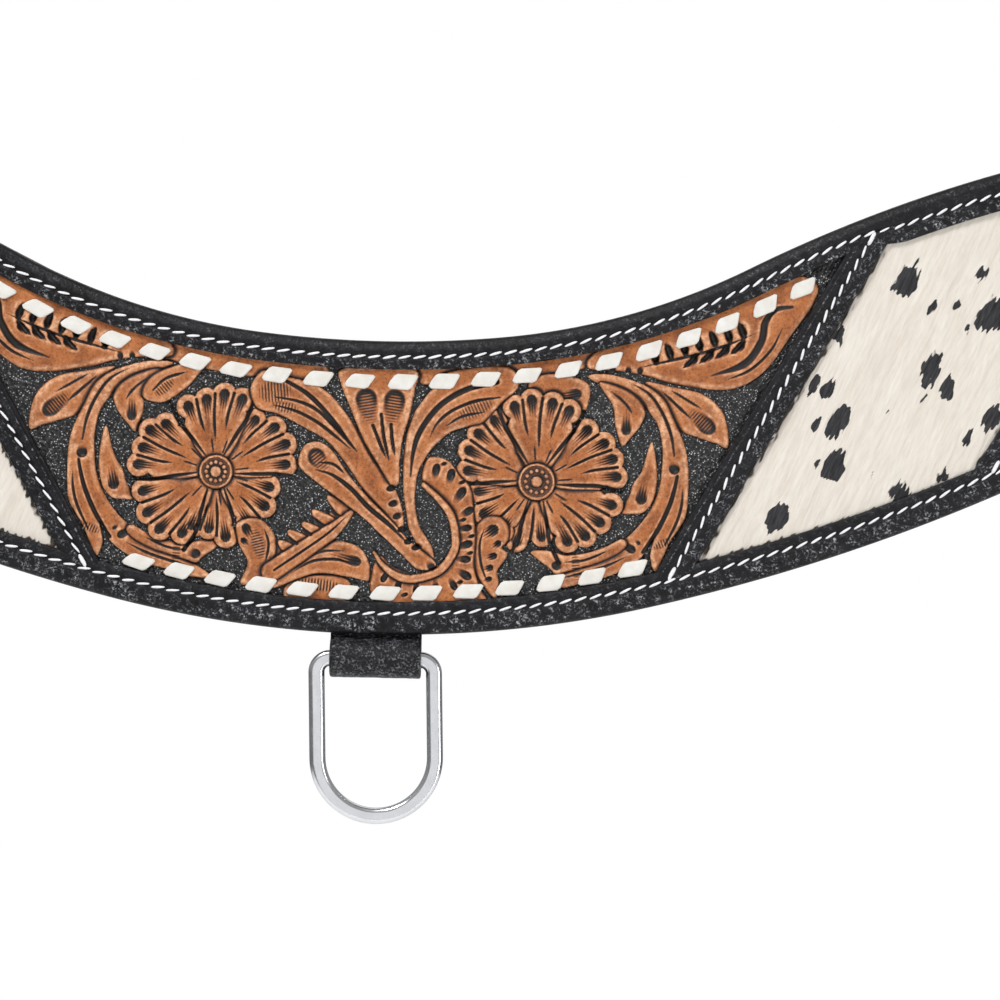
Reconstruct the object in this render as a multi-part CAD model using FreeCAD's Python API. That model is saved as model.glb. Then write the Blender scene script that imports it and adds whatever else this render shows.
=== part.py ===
"""Western breast collar: layered leather band, three rings in folded leather loops, and two hanging tugs.

Millimetres, +Z up.  The collar stands upright: its front faces -Y and its lining lies on the plane y = 0.
The origin is on the lining's back face, at the middle of the band.
"""
import FreeCAD, Part
import math
import os

from FreeCAD import Vector as V

os.makedirs("parts", exist_ok=True)

# ---- outline: each edge runs from the middle out to the tip as tangent arcs ----------------------
# an arc is (radius, slope in degrees at its outer end); a negative radius has its centre below the edge
TOP_HEIGHT = 47.35
TOP_ARCS = ((358.0, 6.2), (224.0, 27.4), (-466.0, 0.0))
BOTTOM_DEPTH = 46.8
BOTTOM_ARCS = ((366.0, 13.8), (629.0, 24.7), (250.0, 35.3), (-268.0, 0.0))
HALF_LENGTH = 405.0
TIP_CORNER = 9.0

# ---- layers, from the lining forward -------------------------------------------------------------
LINING = 2.0
CORE = 3.0
PANEL = 3.0
BORDER = 1.4
EDGE_ROLL = 3.6
FIT_GAP = 0.1

# ---- border, seams and lacing: distances are measured inward from the outline as (top, bottom, tip) 
BORDER_WIDTH = (9.2, 10.6, 10.0)
SEAM_INSET = (5.2, 6.9, 6.0)
SEAM_CATCH = 1.5
THREAD_WIDE = 1.0
THREAD_HIGH = 0.5
GROOVE_GAP = 0.1
DIVIDERS = ((108.5, 29.6), (190.3, 31.0))     # x of each divider's seam at z = 0, and its lean outward
DIVIDER_TO_TOOLED = 4.6
DIVIDER_TO_HIDE = 5.2
PANEL_JOINT = 0.4
LACE_INSET = (13.1, 13.3)
LACE_PITCH = 13.3
LACE_LONG = 8.6
LACE_WIDE = 4.8
LACE_HIGH = 0.7
LACE_SLANT = 12.0
LACE_END_ROOM = 5.0

# ---- rings and the folded leather loops that hold them -------------------------------------------
RING_INNER = 32.6
RING_BAR = 5.1
RING_THICK = 4.4
RING_EDGE = 1.5
RING_CORNER = 7.0
RING_DROP = 31.5
TIE_RING_BOW_SHIFT = 0.9
BAR_GAP = 0.33
LOOP_LEATHER = 3.0
LOOP_SIDE_GAP = 1.7
LOOP_DROP = 7.8
LOOP_TAIL = 19.0
LOOP_EDGE_GAP = 0.4

# ---- tug straps, which hang over the lower leg of each end ring ----------------------------------
TUG_WIDE = 22.0
TUG_LOOP_GAP = 0.883
TUG_LEATHER = 3.0
TUG_FAIRING = 15.0
TUG_REACH = 232.0
TUG_POINT = 14.0
HOLE_RADIUS = 2.1
HOLE_PITCH = 22.0
HOLE_COUNT = 5
HOLE_FROM_POINT = 32.0
SCREWS_DOWN = (23.0, 37.0)
SCREW_RADIUS = 2.5
SCREW_HEAD = 5.0
SCREW_HEAD_HIGH = 1.3
SCREW_GAP = 0.05

# ---- buckle, tongue, roller and keeper -----------------------------------------------------------
BUCKLE_DOWN = 92.0
BUCKLE_BAR = 4.0
BUCKLE_EDGE = 1.6
BUCKLE_CORNER = 6.0
BUCKLE_SIDE_GAP = 1.5
BUCKLE_LONG = 25.0
TURN_UP = 22.0
TURN_UP_THICK = 2.0
ROLLER_WALL = 1.0
ROLLER_END_GAP = 0.5
TONGUE_WIDE = 4.0
TONGUE_PIN = 1.5
TONGUE_SLOT_GAP = 0.4
TONGUE_REST_GAP = 0.3
TONGUE_OVERHANG = 3.0
KEEPER_DOWN = 56.0
KEEPER_TALL = 11.0
KEEPER_LEATHER = 2.0
KEEPER_GAP = 0.4

# ---- places that follow from the sizes above -----------------------------------------------------
LINING_FRONT = -LINING
CORE_FRONT = LINING_FRONT - CORE
PANEL_FRONT = CORE_FRONT - PANEL
FRONT = PANEL_FRONT - BORDER
BAR_REACH = math.hypot(RING_BAR / 2 - RING_EDGE, RING_THICK / 2 - RING_EDGE) + RING_EDGE
LOOP_HOLE = BAR_REACH + BAR_GAP
LOOP_RADIUS = LOOP_HOLE + LOOP_LEATHER
LOOP_WIDE = RING_INNER - 2 * LOOP_SIDE_GAP
RING_Y = -LOOP_RADIUS
FAR = 1000.0
NODES = {}


def add(name, shape):
    """Write one node; every solid in it must be sound."""
    for solid in shape.Solids:
        if not solid.isValid() or solid.Volume <= 0:
            raise ValueError(name + " has an unsound solid")
    NODES[name] = shape
    shape.exportStep("parts/" + name + ".step")


# ---- flat drawing in the XZ plane ----------------------------------------------------------------

def point(x, z, y=0.0):
    return V(x, y, z)


def line(a, b):
    return Part.LineSegment(a, b).toShape()


def arc(a, middle, b):
    return Part.Arc(a, middle, b).toShape()


def normal(slope):
    """Upward normal of an edge that climbs at slope degrees."""
    angle = math.radians(slope)
    return V(-math.sin(angle), 0, math.cos(angle))


def edge_chain(start, arcs, inset):
    """Arcs of one edge as (start, middle, end) points, moved by inset along the upward normal."""
    pieces = []
    slope = 0.0
    here = V(start)
    for radius, end_slope in arcs:
        centre = here + normal(slope) * radius
        moved = [centre - normal(s) * (radius - inset) for s in (slope, (slope + end_slope) / 2, end_slope)]
        pieces.append(moved)
        here = centre - normal(end_slope) * radius
        slope = end_slope
    return pieces


def mirrored(p):
    return V(-p.x, p.y, p.z)


def top_chain(inset):
    return edge_chain(point(0, TOP_HEIGHT), TOP_ARCS, -inset)


def bottom_chain(inset):
    return edge_chain(point(0, -BOTTOM_DEPTH), BOTTOM_ARCS, inset)


def half_outline(top, bottom, tip):
    """Edges from the middle of the top edge, round the right tip, to the middle of the bottom edge."""
    upper = top_chain(top)
    lower = bottom_chain(bottom)
    edges = [arc(*piece) for piece in upper]
    x_tip = HALF_LENGTH - tip
    z_up = upper[-1][2].z
    z_low = lower[-1][2].z
    radius = TIP_CORNER - tip
    if radius > FIT_GAP:
        nook = radius * (1 - math.sqrt(0.5))
        edges.append(line(upper[-1][2], point(x_tip - radius, z_up)))
        edges.append(arc(point(x_tip - radius, z_up), point(x_tip - nook, z_up - nook),
                         point(x_tip, z_up - radius)))
        edges.append(line(point(x_tip, z_up - radius), point(x_tip, z_low + radius)))
        edges.append(arc(point(x_tip, z_low + radius), point(x_tip - nook, z_low + nook),
                         point(x_tip - radius, z_low)))
        edges.append(line(point(x_tip - radius, z_low), lower[-1][2]))
    else:
        edges.append(line(upper[-1][2], point(x_tip, z_up)))
        edges.append(line(point(x_tip, z_up), point(x_tip, z_low)))
        edges.append(line(point(x_tip, z_low), lower[-1][2]))
    edges += [arc(piece[2], piece[1], piece[0]) for piece in reversed(lower)]
    return edges


def outline(top, bottom=None, tip=None):
    """Face of the collar's outline, moved inward by the given distances."""
    bottom = top if bottom is None else bottom
    tip = top if tip is None else tip
    right = half_outline(top, bottom, tip)
    left = [edge.mirror(V(0, 0, 0), V(1, 0, 0)) for edge in right]
    return Part.Face(Part.Wire(Part.__sortEdges__(right + left)))


def slab(face, y_from, y_to):
    """Solid between two depths over a flat face that lies at y = 0."""
    moved = face.copy()
    moved.translate(V(0, y_from, 0))
    return moved.extrude(V(0, y_to - y_from, 0))


def round_front(solid, radius, y_front):
    """Round the outer edge of a slab's front face."""
    edges = [e for e in solid.Edges if all(abs(v.Y - y_front) < 1e-6 for v in e.Vertexes)]
    return solid.makeFillet(radius, edges)


def box(x0, x1, y0, y1, z0, z1):
    return Part.makeBox(x1 - x0, y1 - y0, z1 - z0, V(x0, y0, z0))


def cylinder(radius, centre, axis, length):
    return Part.makeCylinder(radius, length, centre, axis)


def insets(base, extra):
    return [value + extra for value in base]


# ---- the band ------------------------------------------------------------------------------------

def divider_point(divider, shift, z):
    """Point on a divider's seam line at height z, shifted outward at right angles to it."""
    x_level, lean = divider
    angle = math.radians(lean)
    return point(x_level + z * math.tan(angle) + shift / math.cos(angle), z)


def strip_between(inner, outer):
    """Slanted face between two (divider, shift) lines on the right; None is the middle or the tip."""
    def side(limit, z, default):
        return point(default, z) if limit is None else divider_point(limit[0], limit[1], z)
    low, high = -FAR / 4, FAR / 4
    corners = [side(inner, low, 0), side(outer, low, FAR), side(outer, high, FAR), side(inner, high, 0)]
    if inner is None:
        mirror = [mirrored(p) for p in (corners[1], corners[2])]
        corners = [mirror[0], corners[1], corners[2], mirror[1]]
    return Part.Face(Part.makePolygon(corners + corners[:1]))


def flipped(shape):
    return shape.mirror(V(0, 0, 0), V(1, 0, 0))


def panel_strips(to_tooled, to_hide):
    """Slanted zones of the centre, hide and tip panels; each stops that far from the divider seams."""
    first, second = DIVIDERS
    centre = strip_between(None, (first, -to_tooled))
    hide = strip_between((first, to_hide), (second, -to_hide))
    tip = strip_between((second, to_tooled), None)
    return {"centre": centre, "right_hide": hide, "left_hide": flipped(hide),
            "right_tip": tip, "left_tip": flipped(tip)}


def lace_row(chain, pitch_start, count, sign):
    """Slanted diamonds along an inset edge, at even distances from the middle; sign picks the side."""
    diamonds = []
    for step in range(count):
        target = pitch_start + step * LACE_PITCH
        travelled = 0.0
        for start, middle, end in chain:
            edge = arc(start, middle, end)
            if target <= travelled + edge.Length:
                break
            travelled += edge.Length
        where = edge.getParameterByLength(target - travelled)
        place = edge.valueAt(where)
        tangent = edge.tangentAt(where)
        slope = math.atan2(tangent.z * sign, tangent.x)
        turn = slope + math.radians(LACE_SLANT)
        along = V(math.cos(turn), 0, math.sin(turn)) * (LACE_LONG / 2)
        across = V(-math.sin(slope), 0, math.cos(slope)) * (LACE_WIDE / 2)
        centre = V(sign * place.x, 0, place.z)
        corners = [centre - along, centre - across, centre + along, centre + across]
        face = Part.Face(Part.makePolygon(corners + corners[:1]))
        diamonds.append(slab(face, PANEL_FRONT, PANEL_FRONT - LACE_HIGH))
    return diamonds


def run_to(chain, divider, shift):
    """Length along an inset edge from the middle to a divider line."""
    total = 0.0
    for start, middle, end in chain:
        edge = arc(start, middle, end)
        cut = strip_between(None, (divider, shift))
        inside = edge.common(cut)
        total += inside.Length
        if inside.Length < edge.Length - 1e-6:
            break
    return total


def lace_rows(inset_chain, from_middle, to_middle, first):
    """Diamonds of one row between two distances, on both sides of the middle."""
    start = first
    while start < from_middle:
        start += LACE_PITCH
    count = int((to_middle - start) / LACE_PITCH) + 1
    return (lace_row(inset_chain, start, count, -1), lace_row(inset_chain, start, count, 1))


def seam_ring(half_wide):
    """Flat ring that follows the border seam."""
    return outline(*insets(SEAM_INSET, -half_wide)).cut(outline(*insets(SEAM_INSET, half_wide)))


def make_band():
    """Lining, core, edge filler, border, five panels, their lacing and the seam threads."""
    whole = outline(0)
    inner = BORDER + FIT_GAP
    loop_slots = [place_loop(box(-LOOP_WIDE / 2 - FIT_GAP, LOOP_WIDE / 2 + FIT_GAP, CORE_FRONT - FIT_GAP,
                                 LINING_FRONT, -BORDER - FIT_GAP, EDGE_ROLL), site) for site in LOOP_SITES]
    core_slots = [place_loop(box(-LOOP_WIDE / 2 - FIT_GAP, LOOP_WIDE / 2 + FIT_GAP, CORE_FRONT,
                                 LINING_FRONT, -EDGE_ROLL, LOOP_TAIL + FIT_GAP), site) for site in LOOP_SITES]

    half = THREAD_WIDE / 2
    thread_ring = seam_ring(half)
    groove = slab(seam_ring(half + GROOVE_GAP), 0, -THREAD_HIGH - GROOVE_GAP)
    add("lining", slab(whole, 0, LINING_FRONT).cut(groove))
    add("lining_seam_thread", slab(thread_ring, -GROOVE_GAP, -THREAD_HIGH - GROOVE_GAP))
    add("border_seam_thread", slab(thread_ring, FRONT, FRONT - THREAD_HIGH))

    add("core", slab(outline(inner), LINING_FRONT, CORE_FRONT).cut(Part.makeCompound(core_slots)))

    shell = round_front(slab(whole, LINING_FRONT, FRONT), EDGE_ROLL, FRONT)
    hollow = round_front(slab(outline(BORDER), LINING_FRONT, PANEL_FRONT), EDGE_ROLL - BORDER, PANEL_FRONT)
    window_zone = outline(*BORDER_WIDTH)
    strips = panel_strips(DIVIDER_TO_TOOLED, DIVIDER_TO_HIDE)
    windows = [slab(window_zone.common(strip), PANEL_FRONT + FIT_GAP, FRONT - FIT_GAP)
               for strip in strips.values()]
    add("border", shell.cut(hollow).cut(Part.makeCompound(windows + loop_slots)))

    catch = insets(SEAM_INSET, -SEAM_CATCH)
    filler = round_front(slab(outline(inner), CORE_FRONT, PANEL_FRONT), EDGE_ROLL - inner, PANEL_FRONT)
    add("edge_filler", filler.cut(slab(outline(*insets(catch, -FIT_GAP)), CORE_FRONT, PANEL_FRONT)))

    zone = outline(*catch)
    for name, strip in panel_strips(PANEL_JOINT / 2, PANEL_JOINT / 2).items():
        kind = "" if name.endswith("hide") else "_tooled"
        add(name + kind + "_panel", slab(zone.common(strip), CORE_FRONT, PANEL_FRONT))

    inside_seam = outline(*insets(SEAM_INSET, THREAD_WIDE))
    threads = []
    for divider in DIVIDERS:
        strip = inside_seam.common(strip_between((divider, -half), (divider, half)))
        threads += [slab(strip, FRONT, FRONT - THREAD_HIGH),
                    slab(flipped(strip), FRONT, FRONT - THREAD_HIGH)]
    add("divider_seam_threads", Part.makeCompound(threads))

    first, second = DIVIDERS
    to_centre = -DIVIDER_TO_TOOLED - LACE_END_ROOM
    to_tip = DIVIDER_TO_TOOLED + LACE_END_ROOM
    centre_laces = []
    tip_laces = {-1: [], 1: []}
    rows = ((top_chain(LACE_INSET[0]), LACE_PITCH / 2), (bottom_chain(LACE_INSET[1]), LACE_PITCH))
    for chain, start in rows:
        for side in lace_rows(chain, 0, run_to(chain, first, to_centre), start):
            centre_laces += side
        length = sum(arc(*piece).Length for piece in chain)
        for sign, side in zip((-1, 1), lace_rows(chain, run_to(chain, second, to_tip), length, start)):
            tip_laces[sign] += side
    middle = lace_row(rows[1][0], 0, 1, 1)
    add("centre_lacing", Part.makeCompound(centre_laces + middle))
    add("left_tip_lacing", Part.makeCompound(tip_laces[-1]))
    add("right_tip_lacing", Part.makeCompound(tip_laces[1]))


# ---- loops and rings: drawn hanging down from the outline's edge at the origin, then placed ------

def tip_height():
    """Height of the tip's middle."""
    return (top_chain(0)[-1][2].z + bottom_chain(0)[-1][2].z) / 2


LOOP_SITES = {"tie_down": (point(0, -BOTTOM_DEPTH), 0.0),
              "left_end": (point(-HALF_LENGTH, tip_height()), 90.0),
              "right_end": (point(HALF_LENGTH, tip_height()), -90.0)}


def place_loop(shape, site):
    """Move a shape drawn at the origin to a loop's site on the outline."""
    where, turn = LOOP_SITES[site]
    placed = shape.copy()
    placed.rotate(V(0, 0, 0), V(0, 1, 0), turn)
    placed.translate(where)
    return placed


def tangent_points(c1, r1, c2, r2, side):
    """Points where an outer tangent touches two circles; side is -1 or +1 in X, circle 1 above circle 2."""
    across = c2 - c1
    base = math.atan2(across.z, across.x)
    offset = math.acos((r1 - r2) / across.Length)
    angle = base + side * offset
    out = V(math.cos(angle), 0, math.sin(angle))
    return c1 + out * r1, c2 + out * r2


def ring_outline(corner_radius, half_wide, bar_top, bow_shift):
    """Face of a D shape: a bar at height bar_top, two corners, two straight legs and a round bow."""
    bow = V(bow_shift, 0, -RING_DROP)
    edges = []
    legs = {}
    for side in (-1, 1):
        corner = V(side * (half_wide - corner_radius), 0, bar_top - corner_radius)
        upper, lower = tangent_points(corner, corner_radius, bow, half_wide, side)
        top = V(corner.x, 0, bar_top)
        out = (top - corner + upper - corner).normalize()
        edges.append(arc(top, corner + out * corner_radius, upper))
        edges.append(line(upper, lower))
        legs[side] = (top, lower)
    edges.append(line(legs[-1][0], legs[1][0]))
    edges.append(arc(legs[-1][1], bow - V(0, 0, half_wide), legs[1][1]))
    return Part.Face(Part.Wire(Part.__sortEdges__(edges)))


def rounded(face, thick, edge_radius):
    """Plate of a flat face about its own depth, with all its long edges rounded."""
    plate = face.copy()
    plate.translate(V(0, -thick / 2, 0))
    plate = plate.extrude(V(0, thick, 0))
    depths = (plate.BoundBox.YMin, plate.BoundBox.YMax)
    edges = [e for e in plate.Edges
             if any(all(abs(v.Y - depth) < 1e-6 for v in e.Vertexes) for depth in depths)]
    return plate.makeFillet(edge_radius, edges)


def make_ring(bow_shift):
    """D-ring with its bar's axis on the X axis, hanging down; its bow may stand a little to one side."""
    half = RING_INNER / 2 + RING_BAR
    outer = ring_outline(RING_CORNER, half, RING_BAR / 2, bow_shift)
    inner = ring_outline(RING_CORNER - RING_BAR, half - RING_BAR, -RING_BAR / 2, bow_shift)
    return rounded(outer.cut(inner), RING_THICK, RING_EDGE)


def side_profile(points):
    """Face in the YZ plane from (y, z) points."""
    corners = [V(0, y, z) for y, z in points]
    return Part.Face(Part.makePolygon(corners + corners[:1]))


def across_width(face, wide):
    """Extrude a YZ face symmetrically along X."""
    moved = face.copy()
    moved.translate(V(-wide / 2, 0, 0))
    return moved.extrude(V(wide, 0, 0))


def touch_point(centre, radius, corner, turn):
    """Point where the tangent from a corner touches a circle; turn picks the side. All are (y, z) pairs."""
    dy, dz = corner[0] - centre[0], corner[1] - centre[1]
    base = math.atan2(dz, dy)
    offset = math.acos(radius / math.hypot(dy, dz))
    angle = base + turn * offset
    return centre[0] + radius * math.cos(angle), centre[1] + radius * math.sin(angle)


def make_loop():
    """Folded strip of leather: its tail lies in the core, and its fold goes round the ring's bar."""
    centre = (RING_Y, -LOOP_DROP)
    front = (CORE_FRONT, -LOOP_EDGE_GAP)
    back = (LINING_FRONT, -LOOP_EDGE_GAP)
    neck = side_profile([front, touch_point(centre, LOOP_RADIUS, front, 1), centre,
                         touch_point(centre, LOOP_RADIUS, back, -1), back])
    fold = cylinder(LOOP_RADIUS, V(-LOOP_WIDE / 2, centre[0], centre[1]), V(1, 0, 0), LOOP_WIDE)
    tail = box(-LOOP_WIDE / 2, LOOP_WIDE / 2, CORE_FRONT, LINING_FRONT, -LOOP_EDGE_GAP, LOOP_TAIL)
    hole = cylinder(LOOP_HOLE, V(-LOOP_WIDE, centre[0], centre[1]), V(1, 0, 0), 2 * LOOP_WIDE)
    return fold.fuse([across_width(neck, LOOP_WIDE), tail]).cut(hole).removeSplitter()


def make_loops_and_rings():
    loop = make_loop()
    for site in LOOP_SITES:
        ring = make_ring(TIE_RING_BOW_SHIFT if site == "tie_down" else 0.0)
        ring.translate(V(0, RING_Y, -LOOP_DROP))
        add(site + "_loop", place_loop(loop, site))
        add(site + "_ring", place_loop(ring, site))


# ---- tugs: drawn with the ring leg's axis on the X axis, then placed -----------------------------

def tug_solid():
    """Strap folded over the ring's leg; its front end holds the buckle, its back end is the long billet."""
    half = TUG_WIDE / 2
    fold = cylinder(LOOP_RADIUS, V(-half, 0, 0), V(1, 0, 0), TUG_WIDE)
    meet = -TUG_FAIRING
    neck = side_profile([(-LOOP_RADIUS, 0), (-TUG_LEATHER, meet), (TUG_LEATHER, meet), (LOOP_RADIUS, 0)])
    plies = box(-half, half, -TUG_LEATHER, TUG_LEATHER, -BUCKLE_DOWN, meet)
    point_start = -TUG_REACH + TUG_POINT
    billet = box(-half, half, 0, TUG_LEATHER, point_start, meet)
    nose = Part.Face(Part.makePolygon([V(-half, 0, point_start), V(half, 0, point_start),
                                       V(half / 4, 0, -TUG_REACH), V(-half / 4, 0, -TUG_REACH),
                                       V(-half, 0, point_start)])).extrude(V(0, TUG_LEATHER, 0))
    turned = box(-half, half, -TUG_LEATHER - TURN_UP_THICK, 0, -BUCKLE_DOWN, -BUCKLE_DOWN + TURN_UP)
    cuff = cylinder(CUFF_RADIUS, V(-half, CUFF_Y, -BUCKLE_DOWN), V(1, 0, 0), TUG_WIDE)
    strap = fold.fuse([across_width(neck, TUG_WIDE), plies, billet, nose, turned, cuff])
    cuts = [cylinder(LOOP_HOLE, V(-TUG_WIDE, 0, 0), V(1, 0, 0), 2 * TUG_WIDE),
            cylinder(CUFF_HOLE, V(-TUG_WIDE, CUFF_Y, -BUCKLE_DOWN), V(1, 0, 0), 2 * TUG_WIDE)]
    slot = TONGUE_WIDE / 2 + TONGUE_SLOT_GAP
    cuts.append(box(-slot, slot, CUFF_Y - FAR, -FIT_GAP, -BUCKLE_DOWN - CUFF_RADIUS,
                    -BUCKLE_DOWN + CUFF_RADIUS))
    for down in SCREWS_DOWN:
        cuts.append(cylinder(SCREW_RADIUS + SCREW_GAP, V(0, -FAR, -down), V(0, 1, 0), 2 * FAR))
    for step in range(HOLE_COUNT):
        height = -TUG_REACH + HOLE_FROM_POINT + step * HOLE_PITCH
        cuts.append(cylinder(HOLE_RADIUS, V(0, -FAR, height), V(0, 1, 0), 2 * FAR))
    return strap.cut(Part.makeCompound(cuts)).removeSplitter()


def screws():
    """Two flat-headed screw posts through both plies."""
    solids = []
    for down in SCREWS_DOWN:
        shank = cylinder(SCREW_RADIUS, V(0, -TUG_LEATHER, -down), V(0, 1, 0), 2 * TUG_LEATHER)
        front = cylinder(SCREW_HEAD, V(0, -TUG_LEATHER - SCREW_HEAD_HIGH, -down), V(0, 1, 0),
                         SCREW_HEAD_HIGH)
        back = cylinder(SCREW_HEAD, V(0, TUG_LEATHER, -down), V(0, 1, 0), SCREW_HEAD_HIGH)
        solids.append(shank.fuse([front, back]).removeSplitter())
    return Part.makeCompound(solids)


BUCKLE_REACH = math.hypot(BUCKLE_BAR / 2 - BUCKLE_EDGE, BUCKLE_BAR / 2 - BUCKLE_EDGE) + BUCKLE_EDGE
CUFF_HOLE = BUCKLE_REACH + BAR_GAP
CUFF_RADIUS = CUFF_HOLE + TUG_LEATHER
CUFF_Y = -CUFF_RADIUS
ROLLER_INNER = BUCKLE_REACH + BAR_GAP
ROLLER_OUTER = ROLLER_INNER + ROLLER_WALL


def rounded_rectangle(half_wide, z_low, z_high, radius, y):
    """Face of a rectangle with round corners."""
    plate = box(-half_wide, half_wide, 0, 1, z_low, z_high)
    upright = [e for e in plate.Edges if abs(e.Vertexes[0].Y - e.Vertexes[1].Y) > 0.5]
    plate = plate.makeFillet(radius, upright)
    face = [f for f in plate.Faces if abs(f.CenterOfMass.y) < 1e-6][0]
    face.translate(V(0, y, 0))
    return face


def buckle():
    """Rectangular frame that hangs from its upper bar."""
    half = TUG_WIDE / 2 + BUCKLE_SIDE_GAP
    bar = BUCKLE_BAR / 2
    outer = rounded_rectangle(half + BUCKLE_BAR, -BUCKLE_LONG - bar, bar, BUCKLE_CORNER, 0)
    inner = rounded_rectangle(half, -BUCKLE_LONG + bar, -bar, BUCKLE_CORNER - BUCKLE_BAR, 0)
    return rounded(outer.cut(inner), BUCKLE_BAR, BUCKLE_EDGE)


def roller():
    """Tube that turns on the buckle's lower bar."""
    corner = BUCKLE_CORNER - BUCKLE_BAR
    half = TUG_WIDE / 2 + BUCKLE_SIDE_GAP - corner - ROLLER_END_GAP
    start = V(-half, 0, -BUCKLE_LONG)
    tube = cylinder(ROLLER_OUTER, start, V(1, 0, 0), 2 * half)
    return tube.cut(cylinder(ROLLER_INNER, start, V(1, 0, 0), 2 * half))


def tongue():
    """Pin on a small eye round the buckle's upper bar; it rests on the front of the roller."""
    half = TONGUE_WIDE / 2
    eye_radius = CUFF_HOLE + ROLLER_WALL + TONGUE_SLOT_GAP
    eye = cylinder(eye_radius, V(-half, 0, 0), V(1, 0, 0), TONGUE_WIDE)
    start = V(0, -CUFF_HOLE - TONGUE_PIN / 2, 0)
    rest = -ROLLER_OUTER - TONGUE_PIN - TONGUE_REST_GAP
    run = V(0, rest - start.y, -BUCKLE_LONG) * (1 + TONGUE_OVERHANG / BUCKLE_LONG)
    pin = cylinder(TONGUE_PIN, start, run, run.Length)
    hole = cylinder(CUFF_HOLE, V(-TONGUE_WIDE, 0, 0), V(1, 0, 0), 2 * TONGUE_WIDE)
    return eye.fuse(pin).cut(hole).removeSplitter()


def keeper():
    """Leather band round both plies, with room in front for the billet's end."""
    half = TUG_WIDE / 2 + KEEPER_GAP
    back = TUG_LEATHER + KEEPER_GAP
    front = -2 * TUG_LEATHER - KEEPER_GAP
    low, high = -KEEPER_DOWN - KEEPER_TALL, -KEEPER_DOWN
    outer = box(-half - KEEPER_LEATHER, half + KEEPER_LEATHER, front - KEEPER_LEATHER, back + KEEPER_LEATHER,
                low, high)
    return outer.cut(box(-half, half, front, back, low, high))


def make_tugs():
    """Hang one tug from the lower leg of each end ring."""
    strap = tug_solid()
    posts = screws()
    frame = buckle()
    tube = roller()
    pin = tongue()
    loop = keeper()
    out = LOOP_DROP + LOOP_RADIUS + TUG_LOOP_GAP + TUG_WIDE / 2
    leg_below = RING_INNER / 2 + RING_BAR / 2
    for side, sign in (("left", -1), ("right", 1)):
        hang = V(sign * (HALF_LENGTH + out), RING_Y, tip_height() - leg_below)
        bar = hang + V(0, CUFF_Y, -BUCKLE_DOWN)
        pieces = (("tug_strap", strap, hang), ("tug_screws", posts, hang), ("tug_keeper", loop, hang),
                  ("buckle_frame", frame, bar), ("buckle_roller", tube, bar), ("buckle_tongue", pin, bar))
        for name, shape, place in pieces:
            moved = shape.copy()
            moved.translate(place)
            add(side + "_" + name, moved)
        print(side, "ring hinge", [sign * (HALF_LENGTH + LOOP_DROP), RING_Y, tip_height()])
        print(side, "tug hinge", list(hang), "buckle bar", list(bar), "roller z", bar.z - BUCKLE_LONG)


make_band()
make_loops_and_rings()
make_tugs()
print("tie-down hinge", [0, RING_Y, -BOTTOM_DEPTH - LOOP_DROP])
print(len(NODES), "nodes")
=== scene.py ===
"""Western breast collar: carved leather, hair-on hide, lacing and stitched black leather on its frame.

Plain numbers are millimetres in the object's own axes (x along the band, z up, -y to the front) until a
mesh is made; MM turns them into metres.
"""
import math

import bmesh
import bpy
import numpy as np
from bpy.props import FloatProperty, FloatVectorProperty, PointerProperty
from mathutils import Euler, Matrix, Vector


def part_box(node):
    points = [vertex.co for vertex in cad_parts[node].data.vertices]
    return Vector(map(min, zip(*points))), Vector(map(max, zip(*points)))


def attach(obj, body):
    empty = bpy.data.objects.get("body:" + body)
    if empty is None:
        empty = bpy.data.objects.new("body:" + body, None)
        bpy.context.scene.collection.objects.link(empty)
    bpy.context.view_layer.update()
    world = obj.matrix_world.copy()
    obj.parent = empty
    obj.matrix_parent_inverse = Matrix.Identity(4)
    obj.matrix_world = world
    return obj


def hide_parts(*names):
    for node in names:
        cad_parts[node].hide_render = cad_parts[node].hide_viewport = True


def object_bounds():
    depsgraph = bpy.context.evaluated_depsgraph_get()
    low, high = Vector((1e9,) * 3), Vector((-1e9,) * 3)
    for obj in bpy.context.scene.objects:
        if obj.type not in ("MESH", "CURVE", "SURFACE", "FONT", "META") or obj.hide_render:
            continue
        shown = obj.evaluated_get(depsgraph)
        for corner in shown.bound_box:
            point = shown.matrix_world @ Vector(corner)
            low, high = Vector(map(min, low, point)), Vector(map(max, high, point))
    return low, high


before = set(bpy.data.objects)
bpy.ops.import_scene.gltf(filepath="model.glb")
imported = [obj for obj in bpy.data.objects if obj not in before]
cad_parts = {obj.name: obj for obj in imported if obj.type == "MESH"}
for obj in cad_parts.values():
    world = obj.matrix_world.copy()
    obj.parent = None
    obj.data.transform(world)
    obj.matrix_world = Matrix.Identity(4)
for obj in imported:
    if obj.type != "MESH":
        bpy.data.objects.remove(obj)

bl_info = {
    "name": "Western breast collar",
    "version": (1, 0, 0),
    "blender": (4, 5, 0),
    "location": "View3D > Sidebar > Collar",
    "description": "Builds the looks of a laced and carved western breast collar",
    "category": "Object",
}

MM = 0.001
CAD_BOX = [list(corner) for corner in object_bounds()]

# ---- outline of the band: tangent arcs outward from the middle as (radius, slope at the outer end) ----
TOP_MIDDLE = 47.35
TOP_ARCS = ((358.0, 6.2), (224.0, 27.4), (-466.0, 0.0))
BOTTOM_MIDDLE = -46.8
BOTTOM_ARCS = ((366.0, 13.8), (629.0, 24.7), (250.0, 35.3), (-268.0, 0.0))
TIP_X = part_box("lining")[1][0] / MM
TIP_CORNER = 9.0
CORNER_STEPS = 12

# ---- depths: y of each layer's front ----
LINING_FRONT = -2.0
CORE_FRONT = -5.0
PANEL_FRONT = -8.0
BORDER_FRONT = -9.4
GROUND_Y = -6.85                               # ground of the carving

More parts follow.
